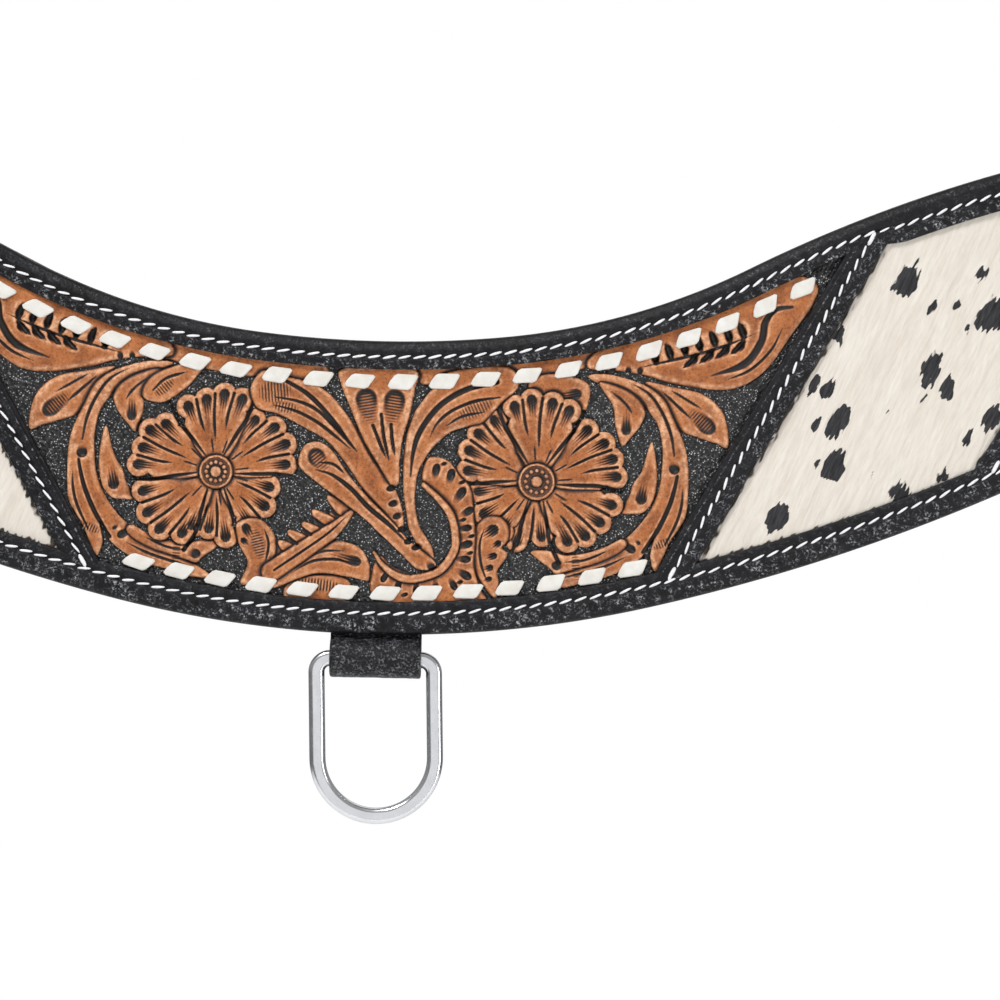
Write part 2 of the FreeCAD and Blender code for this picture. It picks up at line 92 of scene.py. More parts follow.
# ---- border and dividers; threes are (top, bottom, tip), twos are (top, bottom) ----
BORDER_WIDTH = (9.2, 10.6, 10.0)
SEAM_INSET = (5.2, 6.9, 6.0)
HIDE_STRETCH = (150.0, 274.0)                  # where the top border is wider, over the hide
STRETCH_FADE = 14.0
HIDE_WIDER = 2.6
HIDE_SEAM_IN = 1.4
EDGE_ROLL = 3.6
VALLEY_HALF = 1.3                              # half the width of a stitched valley
UNDER_LIP = 3.0                                # how far the panels reach under the border
WINDOW_INSETS = (BORDER_WIDTH[0] - UNDER_LIP, BORDER_WIDTH[1] - UNDER_LIP)
DIVIDERS = ((108.5, 29.6), (190.3, 31.0))      # x of the seam at z = 0, and its lean outward
DIVIDER_TO_TOOLED = 4.6
DIVIDER_TO_HIDE = 5.2
DIVIDER_PITCH = 4.72                           # length of seam that each stitch takes
THREAD_FLAT = 0.744                            # depth of a stitch as a share of its width
LACE_INSET = (13.1, 13.3)
LACE_PITCH = 13.3
HAIR_ANGLE = 23.0                              # lean of the hair's run from upright, in degrees

# ---- carving ----
MOTIF_RISE = 1.15
SURROUND = 2.4                                 # how far the leather is bevelled down beside a motif
CUT_HALF = 0.42
SAMPLE = 0.4                                   # spacing of the points that stand for a drawn line
BIG_HOLLOW = 2.4                               # larger hollows are rippled, smaller ones may be lined
LOBE_RADIUS = 3.9
SEEDS = 12

# ---- folded loops about their rings' bars, and the tugs' leather ----
LOOP_DROP = 7.8
LOOP_RADIUS = 6.09
LOOP_HOLE = 3.12
LOOP_WIDE = 29.2
LOOP_TUCK = 3.0
RING_Y = -6.092
TUG_LEATHER = 3.0

# ---- stage, in metres and watts ----
FLOOR_RADIUS = 1.2
FLOOR_GLOW = 0.25
ROOM_LIGHT = 0.42
LIGHT_TARGET = (0.03, -0.01, 0.01)
LIGHTS = (("key", (-0.55, -0.9, 1.15), (0.4, 0.4), 19.0),
          ("fill", (0.95, -1.0, -0.10), (0.35, 0.7), 6.0),
          ("front", (0.0, -2.4, -0.35), (1.4, 1.2), 4.2),
          ("back", (0.3, 1.6, 1.2), (1.2, 0.8), 4.0))

NOISE_TABLE = 256
CHUNK = 8000                                   # points compared with a line at a time
FINISHES = {}                                  # materials by the record's slot names


def settings():
    return bpy.context.scene.breast_collar


# ---- outline ----

class LongEdge:
    """One long edge of the band, addressed by arc length from the middle, negative on the left."""

    def __init__(self, middle_z, arcs, inward):
        self.middle_z = middle_z
        self.arcs = arcs
        self.inward = inward
        far = 1000.0
        x = self.at(np.array([far]))[0][0]
        self.length = far - (x - (TIP_X - TIP_CORNER))
        self.tip_z = self.at(np.array([self.length]))[1][0]

    def at(self, s):
        """x, z and slope at arc lengths s."""
        run = np.abs(s)
        side = np.where(s < 0, -1.0, 1.0)
        x, z, slope = run.copy(), np.full_like(run, self.middle_z), np.zeros_like(run)
        start_x, start_z, start_slope, done = 0.0, self.middle_z, 0.0, 0.0
        for radius, end_degrees in self.arcs:
            end = math.radians(end_degrees)
            length = radius * (end - start_slope)
            here = run >= done
            turn = start_slope + np.clip(run - done, 0, length) / radius
            x = np.where(here, start_x + radius * (np.sin(turn) - math.sin(start_slope)), x)
            z = np.where(here, start_z + radius * (math.cos(start_slope) - np.cos(turn)), z)
            slope = np.where(here, turn, slope)
            start_x += radius * (math.sin(end) - math.sin(start_slope))
            start_z += radius * (math.cos(start_slope) - math.cos(end))
            start_slope, done = end, done + length
        x = np.where(run > done, start_x + run - done, x)
        return x * side, z, slope * side

    def inset(self, s, distance):
        """Points a distance inward of the edge, as an array of (x, z)."""
        s = np.asarray(s, float)
        x, z, slope = self.at(s)
        x = x - self.inward * np.sin(slope) * distance
        z = z + self.inward * np.cos(slope) * distance
        return np.stack([x, z], -1)


TOP_EDGE = LongEdge(TOP_MIDDLE, TOP_ARCS, -1.0)
BOTTOM_EDGE = LongEdge(BOTTOM_MIDDLE, BOTTOM_ARCS, 1.0)


def beyond_divider(points, divider):
    """Distance outward of a divider's seam line, for points on the right."""
    foot, lean = DIVIDERS[divider]
    angle = math.radians(lean)
    return (points[..., 0] - foot) * math.cos(angle) - points[..., 1] * math.sin(angle)


def crossing(edge, inset, divider, shift):
    """Arc length where an inset edge crosses a divider's line moved outward by shift; None is the tip."""
    s = np.linspace(0, edge.length + TIP_CORNER, 2000)
    points = edge.inset(s, inset)
    if divider is None:
        return float(np.interp(TIP_X - shift, points[:, 0], s))
    return float(np.interp(shift, beyond_divider(points, divider), s))


def window_points(start, end, step):
    """Rows (bottom to top) of points over a window; start and end are (side, divider, shift)."""
    spans = []
    for edge, inset in ((BOTTOM_EDGE, WINDOW_INSETS[1]), (TOP_EDGE, WINDOW_INSETS[0])):
        spans.append([side * crossing(edge, inset, divider, shift)
                      for side, divider, shift in (start, end)])
    widest = max(abs(b - a) for a, b in spans)
    columns = int(widest / step) + 1
    low = BOTTOM_EDGE.inset(np.linspace(*spans[0], columns), WINDOW_INSETS[1])
    high = TOP_EDGE.inset(np.linspace(*spans[1], columns), WINDOW_INSETS[0])
    tallest = np.linalg.norm(high - low, axis=1).max()
    share = np.linspace(0, 1, int(tallest / step) + 1)[:, None, None]
    return low + (high - low) * share


def run_along(points):
    """Distance along a polyline at each of its points."""
    return np.concatenate([[0], np.cumsum(np.hypot(*np.diff(points, axis=0).T))])


def point_at(points, run, distance):
    """Point of a polyline at a distance along it."""
    return np.array([np.interp(distance, run, points[:, k]) for k in (0, 1)])


# ---- smooth random fields ----

def soft_noise(a, b, size, seed):
    """Smooth random values from -1 to 1 over coordinates a, b, with features of a given size."""
    table = np.random.default_rng(seed).random((NOISE_TABLE, NOISE_TABLE)) * 2 - 1
    a, b = np.asarray(a) / size, np.asarray(b) / size
    i, j = np.floor(a).astype(int), np.floor(b).astype(int)
    u, v = a - i, b - j
    u, v = u * u * (3 - 2 * u), v * v * (3 - 2 * v)
    i, j, ii, jj = (k % NOISE_TABLE for k in (i, j, i + 1, j + 1))
    low = table[i, j] * (1 - u) + table[ii, j] * u
    high = table[i, jj] * (1 - u) + table[ii, jj] * u
    return low * (1 - v) + high * v


def smooth_step(x):
    x = np.clip(x, 0, 1)
    return x * x * (3 - 2 * x)


# ---- meshes ----

def as_mesh(bm, name):
    """Turn a bmesh into a mesh."""
    mesh = bpy.data.meshes.new(name)
    bm.to_mesh(mesh)
    bm.free()
    return mesh


def add_object(name, data):
    """An object in the scene, at the origin."""
    made = bpy.data.objects.new(name, data)
    bpy.context.scene.collection.objects.link(made)
    return made


def finish_piece(bm, name, body, slot, replaced=()):
    """Turn a bmesh into a smooth-shaded piece that rides on a body and wears its slot's finish."""
    mesh = as_mesh(bm, name)
    mesh.shade_smooth()
    mesh.materials.append(FINISHES[slot])
    piece = add_object(name, mesh)
    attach(piece, body)
    if replaced:
        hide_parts(*replaced)
    return piece


def grid_bmesh(points, fields=None):
    """A grid whose vertices stand at the given (rows, columns, 3) points, with point fields by name."""
    rows, columns = points.shape[:2]
    bm = bmesh.new()
    bmesh.ops.create_grid(bm, x_segments=columns - 1, y_segments=rows - 1, size=1)
    mesh = bpy.data.meshes.new("grid")
    bm.to_mesh(mesh)
    bm.clear()
    mesh.vertices.foreach_set("co", (points * MM).ravel())
    for name, values in (fields or {}).items():
        mesh.attributes.new(name, "FLOAT", "POINT").data.foreach_set("value", values.ravel())
    bm.from_mesh(mesh)
    bpy.data.meshes.remove(mesh)
    return bm


def close_behind(bm, y):
    """Give a sheet side walls back to depth y, and a back."""
    rim = [edge for edge in bm.edges if edge.is_boundary]
    made = bmesh.ops.extrude_edge_only(bm, edges=rim)["geom"]
    for item in made:
        if isinstance(item, bmesh.types.BMVert):
            item.co.y = y * MM
    back = [e for e in made if isinstance(e, bmesh.types.BMEdge) and e.is_boundary]
    bmesh.ops.edgeloop_fill(bm, edges=back)
    bmesh.ops.recalc_face_normals(bm, faces=bm.faces[:])


def round_over(bm, edges, offset, clamp=False):
    """Round edges over by an offset in the mesh's own units."""
    bmesh.ops.bevel(bm, geom=edges, offset=offset, offset_type="OFFSET", segments=3, profile=0.5,
                    affect="EDGES", material=-1, clamp_overlap=clamp)


def weld(bm):
    """Join the meeting ends of a wrapped grid."""
    bmesh.ops.remove_doubles(bm, verts=bm.verts[:], dist=2e-6)
    bmesh.ops.recalc_face_normals(bm, faces=bm.faces[:])


def scatter(template, places):
    """One bmesh with a copy of the template mesh at each matrix."""
    bm = bmesh.new()
    for place in places:
        template.transform(place)
        bm.from_mesh(template)
        template.transform(place.inverted())
    return bm


# ---- materials ----

class Finish:
    """A material with one Principled shader, and short calls that add nodes before it."""

    def __init__(self, name, **sockets):
        self.material = bpy.data.materials.new(name)
        self.material.use_nodes = True
        self.tree = self.material.node_tree
        self.shader = self.tree.nodes["Principled BSDF"]
        for socket, value in sockets.items():
            self.shader.inputs[socket.replace("_", " ")].default_value = value
        self.coords = self.node("ShaderNodeTexCoord").outputs["Object"]

    def node(self, kind, inputs=None, **options):
        made = self.tree.nodes.new(kind)
        for option, value in options.items():
            setattr(made, option, value)
        for socket, value in (inputs or {}).items():
            self.feed(made.inputs[socket], value)
        return made

    def feed(self, socket, value):
        if isinstance(value, bpy.types.NodeSocket):
            self.tree.links.new(value, socket)
        else:
            socket.default_value = value

    def stretched(self, degrees, along):
        """Coordinates turned in the picture plane, then scaled along the first axis."""
        turned = self.node("ShaderNodeMapping", {"Vector": self.coords})
        turned.inputs["Rotation"].default_value = (0, math.radians(degrees), 0)
        made = self.node("ShaderNodeMapping", {"Vector": turned.outputs["Vector"]})
        made.inputs["Scale"].default_value = (along, 1, 1)
        return made.outputs["Vector"]

    def noise(self, scale, detail=4.0, roughness=0.55, vector=None):
        inputs = {"Vector": vector or self.coords, "Scale": scale, "Detail": detail, "Roughness": roughness}
        return self.node("ShaderNodeTexNoise", inputs).outputs["Fac"]

    def cells(self, scale, feature="F1"):
        inputs = {"Vector": self.coords, "Scale": scale}
        return self.node("ShaderNodeTexVoronoi", inputs, feature=feature).outputs["Distance"]

    def field(self, name):
        return self.node("ShaderNodeAttribute", attribute_name=name).outputs["Fac"]

    def ramp(self, value, *stops):
        """Colour ramp; each stop is (position, grey or colour)."""
        made = self.node("ShaderNodeValToRGB", {"Fac": value})
        ramp = made.color_ramp
        while len(ramp.elements) < len(stops):
            ramp.elements.new(1.0)
        for element, (position, colour) in zip(ramp.elements, stops):
            element.position = position
            element.color = (*colour, 1.0) if isinstance(colour, tuple) else (colour,) * 3 + (1.0,)
        return made.outputs["Color"]

    def mix(self, share, low, high, blend="MIX"):
        made = self.node("ShaderNodeMix", data_type="RGBA", blend_type=blend)
        self.feed(made.inputs["Factor"], share)
        for socket, value in (("A", low), ("B", high)):
            target = [i for i in made.inputs if i.name == socket and i.type == "RGBA"][0]
            self.feed(target, (*value, 1.0) if isinstance(value, tuple) else value)
        return [o for o in made.outputs if o.type == "RGBA"][0]

    def sum(self, first, second, operation="ADD"):
        made = self.node("ShaderNodeMath", operation=operation)
        self.feed(made.inputs[0], first)
        self.feed(made.inputs[1], second)
        return made.outputs["Value"]

    def colour(self, value):
        self.feed(self.shader.inputs["Base Color"], value)

    def roughness(self, value):
        self.feed(self.shader.inputs["Roughness"], value)

    def bump(self, height, distance, strength):
        """Bump of a height field; distance is in millimetres. Calls stack."""
        inputs = {"Height": height, "Strength": strength, "Distance": distance * MM}
        made = self.node("ShaderNodeBump", inputs)
        before = self.shader.inputs["Normal"]
        if before.is_linked:
            self.feed(made.inputs["Normal"], before.links[0].from_socket)
        self.feed(before, made.outputs["Normal"])


def black_leather(name, grain=1.0, glint_level=0.0):
    """Dyed and glazed black leather: fine grain, and bluish highlights where it is rubbed or glazed."""
    made = Finish(name, Specular_IOR_Level=0.20)
    patches = made.noise(170.0, 5.0, 0.6)
    base = made.ramp(patches, (0.3, (0.0025, 0.0025, 0.003)), (0.75, (0.010, 0.010, 0.013)))
    flecks = made.ramp(made.noise(1250.0, 5.0, 0.72), (0.50, 0.0), (0.60, 1.0))
    clusters = made.ramp(made.noise(360.0, 3.0, 0.6), (0.40, 0.12), (0.58, 1.0))
    speckles = made.sum(flecks, clusters, "MULTIPLY")
    # painted highlights: where the glint field and level ask for them, specks turn bluish grey in place of
    # glints on the glossy black
    glint_share = made.sum(made.sum(made.field("painted_glints"), glint_level), speckles, "MULTIPLY")
    made.colour(made.mix(glint_share, base, (0.50, 0.51, 0.54)))
    made.roughness(made.ramp(made.noise(420.0, 3.0), (0.3, 0.30), (0.75, 0.50)))
    made.bump(made.cells(1500.0, "DISTANCE_TO_EDGE"), 0.16 * grain, 0.7)
    made.bump(made.noise(900.0, 6.0, 0.65), 0.30 * grain, 0.9)
    return made.material


def carved_leather():
    """Tan tooled leather: black dyed ground, antique in the cuts, lighter rubbed tops."""
    made = Finish("carved_leather", Specular_IOR_Level=0.35)
    tone = made.ramp(made.noise(120.0, 6.0, 0.65), (0.28, (0.19, 0.052, 0.013)),
                     (0.50, (0.40, 0.128, 0.036)), (0.78, (0.58, 0.215, 0.070)))
    specks = made.ramp(made.noise(1150.0, 5.0, 0.7), (0.36, 0.42), (0.52, 0.95), (0.66, 1.0))
    tone = made.mix(0.85, tone, specks, "MULTIPLY")
    # rubbed tops and painted highlight: raised ridges turn pale pink, partly the leather's rubbed tops,
    # partly painted highlight, flecked by a glint pattern
    rub_and_highlight = made.ramp(made.field("rub_and_highlight"), (0.12, 0.0), (0.85, 0.9))
    glint = made.ramp(made.noise(700.0, 4.0, 0.6), (0.42, 0.25), (0.62, 1.0))
    tone = made.mix(made.sum(rub_and_highlight, glint, "MULTIPLY"), tone, (0.76, 0.42, 0.24))
    # antique dye in the cuts and painted shade in recesses and round the motifs' edges, darkening towards
    # near-black
    antique_and_shade = made.ramp(made.field("antique_and_shade"), (0.06, 0.0), (0.35, 0.62), (0.75, 1.0))
    tone = made.mix(antique_and_shade, tone, (0.008, 0.006, 0.006))
    # painted glints: bright grey specks on the stippled black ground stand in for highlights on its beads,
    # in patches
    beads = made.cells(1350.0)
    lit = made.ramp(made.noise(420.0, 4.0, 0.7), (0.40, 0.10), (0.58, 1.0))
    ground = made.ramp(beads, (0.12, 0.75), (0.30, 0.03), (0.8, 0.004))
    ground = made.mix(lit, (0.006, 0.006, 0.007), ground)
    motif = made.ramp(made.field("motif"), (0.35, 0.0), (0.65, 1.0))
    made.colour(made.mix(motif, ground, tone))
    raised = made.ramp(made.noise(500.0), (0.3, 0.36), (0.7, 0.56))
    made.roughness(made.mix(motif, (0.32, 0.32, 0.32), raised))
    made.bump(made.noise(1500.0, 5.0, 0.7), 0.20, 0.8)
    return made.material


def hair_hide():
    """Cream hair-on hide with black spots; the hair runs down to the left."""
    made = Finish("hair_hide", Roughness=0.62, Specular_IOR_Level=0.3)
    along = made.stretched(90 - HAIR_ANGLE, 0.13)
    strands = made.noise(1500.0, 4.0, 0.6, along)
    tufts = made.noise(260.0, 5.0, 0.6, along)
    cream = made.ramp(tufts, (0.25, (0.62, 0.56, 0.485)), (0.5, (0.685, 0.63, 0.56)),
                      (0.8, (0.74, 0.70, 0.64)))
    cream = made.mix(0.30, cream, made.ramp(strands, (0.32, 0.66), (0.60, 1.0)), "MULTIPLY")
    black = made.ramp(strands, (0.35, (0.006, 0.006, 0.007)), (0.75, (0.045, 0.045, 0.050)))
    brown = made.ramp(strands, (0.35, (0.010, 0.008, 0.006)), (0.72, (0.09, 0.065, 0.042)))
    cream = made.mix(made.ramp(made.field("shade"), (0.35, 0.0), (0.75, 1.0)), cream, brown)
    made.colour(made.mix(made.ramp(made.field("spot"), (0.42, 0.0), (0.58, 1.0)), cream, black))
    made.bump(strands, 0.25, 0.7)
    made.bump(tufts, 0.4, 0.4)
    return made.material


def lace_rawhide():
    """Flat white lacing, slightly uneven."""
    made = Finish("white_lace", Roughness=0.48, Specular_IOR_Level=0.45, Subsurface_Weight=0.05)
    made.colour(made.ramp(made.noise(260.0, 4.0), (0.3, (0.66, 0.62, 0.56)), (0.7, (0.76, 0.735, 0.69))))
    made.bump(made.noise(700.0, 4.0), 0.08, 0.5)
    return made.material


def thread_finish():
    """Waxed white thread."""
    made = Finish("white_thread", Roughness=0.55, Specular_IOR_Level=0.35)
    twist = made.noise(1400.0, 3.0)
    made.colour(made.ramp(twist, (0.3, (0.74, 0.72, 0.75)), (0.65, (0.88, 0.87, 0.89))))
    made.bump(twist, 0.08, 0.5)
    return made.material


def lining_finish(name, dark, light):
    """Vegetable-tanned leather with soft mottling and fine grain."""
    made = Finish(name, Specular_IOR_Level=0.35)
    made.colour(made.ramp(made.noise(60.0, 6.0, 0.6), (0.3, dark), (0.7, light)))
    made.roughness(made.ramp(made.noise(300.0), (0.3, 0.55), (0.7, 0.78)))
    made.bump(made.cells(1100.0, "DISTANCE_TO_EDGE"), 0.09, 0.4)
    made.bump(made.noise(800.0, 5.0), 0.14, 0.45)
    return made.material


def polished_metal(name, tint, roughness):
    """Nickel-plated steel with faint wear."""
    made = Finish(name, Metallic=1.0)
    made.colour(made.ramp(made.noise(110.0, 5.0), (0.3, tuple(c * 0.9 for c in tint)), (0.7, tint)))
    made.roughness(made.ramp(made.noise(260.0, 4.0), (0.3, roughness * 0.75), (0.75, roughness * 1.4)))
    made.bump(made.noise(90.0, 3.0), 0.06, 0.25)
    return made.material


def make_finishes():
    """All finishes by the record's slot names."""
    FINISHES.update({
        "black_leather": black_leather("black_leather"),
        # loop and tug leather: the last number sets painted highlights, lighter specks all over that stand
        # in for glints
        "loop_leather": black_leather("loop_leather", 1.5, 0.36),
        "tug_leather": black_leather("tug_leather", 1.2, 0.15),
        "tooled_leather": carved_leather(),
        "hide": hair_hide(),
        "lace": lace_rawhide(),
        "thread": thread_finish(),
        "lining_leather": lining_finish("lining_leather", (0.16, 0.075, 0.035), (0.27, 0.14, 0.07)),
        "core_leather": lining_finish("core_leather", (0.10, 0.05, 0.028), (0.17, 0.09, 0.05)),
        "ring_metal": polished_metal("ring_metal", (0.72, 0.73, 0.755), 0.20),
        "hardware": polished_metal("hardware", (0.80, 0.80, 0.80), 0.18),
    })


# ---- carving ----

def smooth_line(points, closed=False):
    """Points close together on a smooth line through the given ones."""
    points = np.asarray(points, float)
    if closed:
        points = np.concatenate([points[-1:], points, points[:2]])
    else:
        points = np.concatenate([2 * points[:1] - points[1:2], points, 2 * points[-1:] - points[-2:-1]])
    pieces = []
    for a, b, c, d in zip(points[:-3], points[1:-2], points[2:-1], points[3:]):
        count = max(2, int(np.linalg.norm(c - b) / SAMPLE) + 1)
        t = np.linspace(0, 1, count, endpoint=False)[:, None]
        pieces.append(0.5 * (2 * b + (c - a) * t + (2 * a - 5 * b + 4 * c - d) * t ** 2
                             + (3 * b - a - 3 * c + d) * t ** 3))
    if not closed:
        pieces.append(points[-2:-1])
    return np.concatenate(pieces)


def nearest(points, line):
    """Index of the nearest line sample to each point, and its distance."""
    index = np.empty(len(points), int)
    for start in range(0, len(points), CHUNK):
        part = points[start:start + CHUNK]
        gap = ((part[:, None, :] - line[None, :, :]) ** 2).sum(-1)
        index[start:start + CHUNK] = gap.argmin(1)
    return index, np.linalg.norm(points - line[index], axis=1)


def edge_distance(points, line):
    """Distance to a closed line, negative inside it."""
    following = np.roll(line, -1, axis=0)
    inside = np.zeros(len(points), bool)
    best = np.full(len(points), np.inf)
    for a, b in zip(line, following):
        run = b - a
        t = np.clip(((points - a) @ run) / max(run @ run, 1e-9), 0, 1)
        best = np.minimum(best, ((points - a - t[:, None] * run) ** 2).sum(-1))
        if a[1] != b[1]:
            crosses = (a[1] > points[:, 1]) != (b[1] > points[:, 1])
            inside ^= crosses & (points[:, 0] < a[0] + run[0] * (points[:, 1] - a[1]) / run[1])
    return np.where(inside, -1, 1) * np.sqrt(best)


class Carving:
    """A carved panel over a grid of points: height above the ground, raised leather, and stain in cuts."""

    def __init__(self, points):
        self.shape = points.shape[:2]
        self.points = points.reshape(-1, 2)
        self.height = np.zeros(len(self.points))
        self.motif = np.zeros(len(self.points))
        self.stain_and_shade = np.zeros(len(self.points))
        self.set_place()

    def set_place(self, shift=(0.0, 0.0), turn=0.0, mirror=False):
        """Later motifs are mirrored in X, turned by degrees and then shifted."""
        angle = math.radians(turn)
        flip = -1.0 if mirror else 1.0
        self.turned = np.array([[flip * math.cos(angle), flip * math.sin(angle)],
                                [-math.sin(angle), math.cos(angle)]])
        self.shift = np.array(shift)

    def put(self, points):
        return np.asarray(points, float) @ self.turned + self.shift

    def near(self, drawn, reach):
        low, high = drawn.min(0) - reach, drawn.max(0) + reach
        return np.nonzero(((self.points > low) & (self.points < high)).all(1))[0]

    def around(self, place, reach):
        """Points within reach of a place, and their distances from it."""
        centre = self.put([place])[0]
        pick = self.near(centre[None, :], reach)
        return pick, np.linalg.norm(self.points[pick] - centre, axis=1)

    def beside(self, x, z, degrees, reach):
        """Points within reach of a place, and how far each is along a direction from it and across that."""
        centre = self.put([(x, z)])[0]
        angle = math.radians(degrees)
        run = self.put([(x + math.cos(angle), z + math.sin(angle))])[0] - centre
        pick = self.near(centre[None, :], reach)
        rel = self.points[pick] - centre
        return pick, rel @ run, rel @ np.array([-run[1], run[0]])

    def paint(self, pick, gap, rise, shoulder):
        """Raise a shape: gap is the distance outside it, negative inside."""
        outside = gap > 0
        around, away = pick[outside], gap[outside]
        push = np.clip(1 - away / SURROUND, 0, 1) ** 2
        self.height[around] -= push * 0.55 * self.motif[around]
        cut = np.clip(1 - away / CUT_HALF, 0, 1)
        self.height[around] -= cut * 0.30
        self.height[around] = np.maximum(self.height[around], -0.25)
        # painted shade beside each motif's edge, kept with the stain
        shade = np.maximum(np.clip(1.5 * cut, 0, 1), 0.62 * np.clip(1 - away / 1.7, 0, 1))
        self.stain_and_shade[around] = np.maximum(self.stain_and_shade[around], shade)
        inner, depth = pick[~outside], -gap[~outside]
        round_off = (1 - np.clip(depth / shoulder, 0, 1)) ** 2
        self.height[inner] = rise - 0.55 * round_off
        self.motif[inner] = 1.0
        self.stain_and_shade[inner] = 0.30 * np.clip(1 - depth / 0.55, 0, 1)

    def leaf(self, outline, rise=MOTIF_RISE, shoulder=1.3):
        line = smooth_line(self.put(outline), closed=True)
        pick = self.near(line, SURROUND)
        self.paint(pick, edge_distance(self.points[pick], line), rise, shoulder)

    def stem(self, points, widths, rise=MOTIF_RISE, shoulder=1.2):
        """A ribbon along a line; widths are spread evenly over its length."""
        line = smooth_line(self.put(points))
        half = np.interp(np.linspace(0, 1, len(line)), np.linspace(0, 1, len(widths)), widths) / 2
        pick = self.near(line, SURROUND + half.max())
        index, distance = nearest(self.points[pick], line)
        self.paint(pick, distance - half[index], rise, shoulder)

    def cut(self, points, width=0.75, depth=0.65, ends=(0.15, 1.0)):
        """A groove; ends are the shares of its width and depth at the start and the end."""
        line = smooth_line(self.put(points))
        along = np.linspace(0, 1, len(line))
        share = np.minimum(np.interp(along, [0, 0.3, 0.85, 1], [ends[0], 0.9, 1.0, ends[1]]),
                           np.interp(along, [0, 0.7, 1], [1, 1, ends[1]]))
        pick = self.near(line, width)
        index, distance = nearest(self.points[pick], line)
        groove = np.clip(1 - distance / (width * share[index]), 0, 1)
        self.height[pick] -= depth * share[index] * smooth_step(groove * 1.3)
        stain_and_shade = smooth_step(groove * 1.35) * np.clip(1.3 * share[index], 0, 1)
        self.stain_and_shade[pick] = np.maximum(self.stain_and_shade[pick], stain_and_shade)

    def hollow(self, x, z, radius, towards, tail=3.0, wide=0.8, depth=0.75, lines=0.0):
        """A pressed oval, steep at its round end and fading over its tail, towards an angle in degrees."""
        pick, along, across = self.beside(x, z, towards, radius * (tail + 1))
        reach = np.where(along > 0, radius * tail, radius)
        q = np.sqrt((along / reach) ** 2 + (across / (radius * wide)) ** 2)
        fade = np.where(along > 0, np.clip(1 - along / reach, 0, 1) ** 0.8, 1)
        press = np.clip(1 - q ** 3, 0, 1) * fade
        if lines and radius <= BIG_HOLLOW:
            wave = np.cos(across * 2 * math.pi / lines)
            press = press + 0.30 * (q < 1) * wave * np.clip(1.2 - q, 0, 1)
        ripple = 0.0
        if radius > BIG_HOLLOW:
            ripple = (0.5 + 0.5 * np.cos(along * 2 * math.pi / 0.95)) * np.clip(2.2 * (1 - q), 0, 1)
        self.height[pick] -= depth * (press * (q < 1) + 0.25 * ripple)
        fade = np.where(along > 0, np.clip(1 - 1.5 * along / reach, 0, 1), 1)
        dark = np.clip(1.25 * press, 0, 1) * fade * (q < 1)
        if radius > BIG_HOLLOW:
            dark = np.maximum(dark * np.clip((q - 0.45) / 0.3, 0, 1), 0.5 * ripple ** 2)
        self.stain_and_shade[pick] = np.maximum(self.stain_and_shade[pick], dark * min(1.0, depth / 0.7))

    def hatch(self, x, z, long, wide, angle, pitch=0.95, depth=0.30):
        """Fine parallel cuts in an oval, running at an angle in degrees."""
        pick, along, across = self.beside(x, z, angle, max(long, wide))
        q = (across / long) ** 2 + (along / wide) ** 2
        wave = 0.5 + 0.5 * np.cos(across * 2 * math.pi / pitch)
        oval = np.clip(1.6 * (1 - q), 0, 1)
        self.height[pick] -= depth * wave * oval
        self.stain_and_shade[pick] = np.maximum(self.stain_and_shade[pick], 0.55 * wave ** 2 * oval)

    def flower(self, centre, hub, petals, clefts):
        """Scalloped petals painted in order; each is a list of (radius, degrees) of its lobes' hollows."""
        cx, cz = centre

        def polar(radius, degrees):
            angle = math.radians(degrees)
            return cx + radius * math.cos(angle), cz + radius * math.sin(angle)

        for petal in petals:
            middle = sum(d for r, d in petal) / len(petal)
            spread = math.radians(max(d for r, d in petal) - min(d for r, d in petal))
            size = LOBE_RADIUS * (1.0 if spread > 0.5 else 0.9)
            lobes = self.put([polar(r, d) for r, d in petal])
            first, last = petal[0], petal[-1]
            body = [polar(hub * 0.6, middle - 50), polar(first[0] * 0.45, first[1] - 17),
                    polar(first[0] * 0.8, first[1] - 11)]
            body += [polar(r + 0.8, d) for r, d in petal]
            body += [polar(last[0] * 0.8, last[1] + 11), polar(last[0] * 0.45, last[1] + 17),
                     polar(hub * 0.6, middle + 50)]
            line = self.put(body)
            pick = self.near(np.concatenate([line, lobes]), SURROUND + 5)
            gap = edge_distance(self.points[pick], line)
            for lobe in lobes:
                gap = np.minimum(gap, np.linalg.norm(self.points[pick] - lobe, axis=1) - size)
            self.paint(pick, gap, MOTIF_RISE, 1.1)
            inner = pick[gap < 0]
            away = np.linalg.norm(self.points[inner] - self.put([centre])[0], axis=1)
            dish = 0.30 * smooth_step(1 - abs(away - 11) / 8)
            self.height[inner] += 0.22 * smooth_step((away - 9) / 14) - dish
        for petal in petals:
            for radius, degrees in petal:
                x, z = polar(radius, degrees)
                self.hollow(x, z, 2.15, degrees + 180, tail=3.0, wide=0.86, depth=0.95, lines=0.8)
            for number, (lobe, following) in enumerate(zip(petal, petal[1:])):
                radius = (lobe[0] + following[0]) / 2
                degrees = (lobe[1] + following[1]) / 2
                reach = 0.36 if number == (len(petal) - 1) // 2 else 0.55
                self.cut([polar(radius * reach, degrees), polar(radius * 0.75, degrees + 1.2),
                          polar(radius + 1.0, degrees)], 0.68, 0.7, (0.1, 1.0))
            for radius, degrees in petal[::2]:
                self.cut([polar(hub + 1.2, degrees), polar(hub + 6.0, degrees)], 0.45, 0.35, (0.8, 0.1))
        for degrees, bend in clefts:
            self.cut([polar(hub + 0.8, degrees - bend), polar(14, degrees + bend / 2),
                      polar(20, degrees + bend), polar(27, degrees)], 1.0, 0.95, (0.4, 1.0))
        self.leaf([polar(hub, d) for d in range(0, 360, 30)], MOTIF_RISE + 0.15, 0.9)
        pick, away = self.around(centre, hub)
        ring = pick[(away < hub - 0.75) & (away > 1.7)]
        self.height[ring] -= 0.30
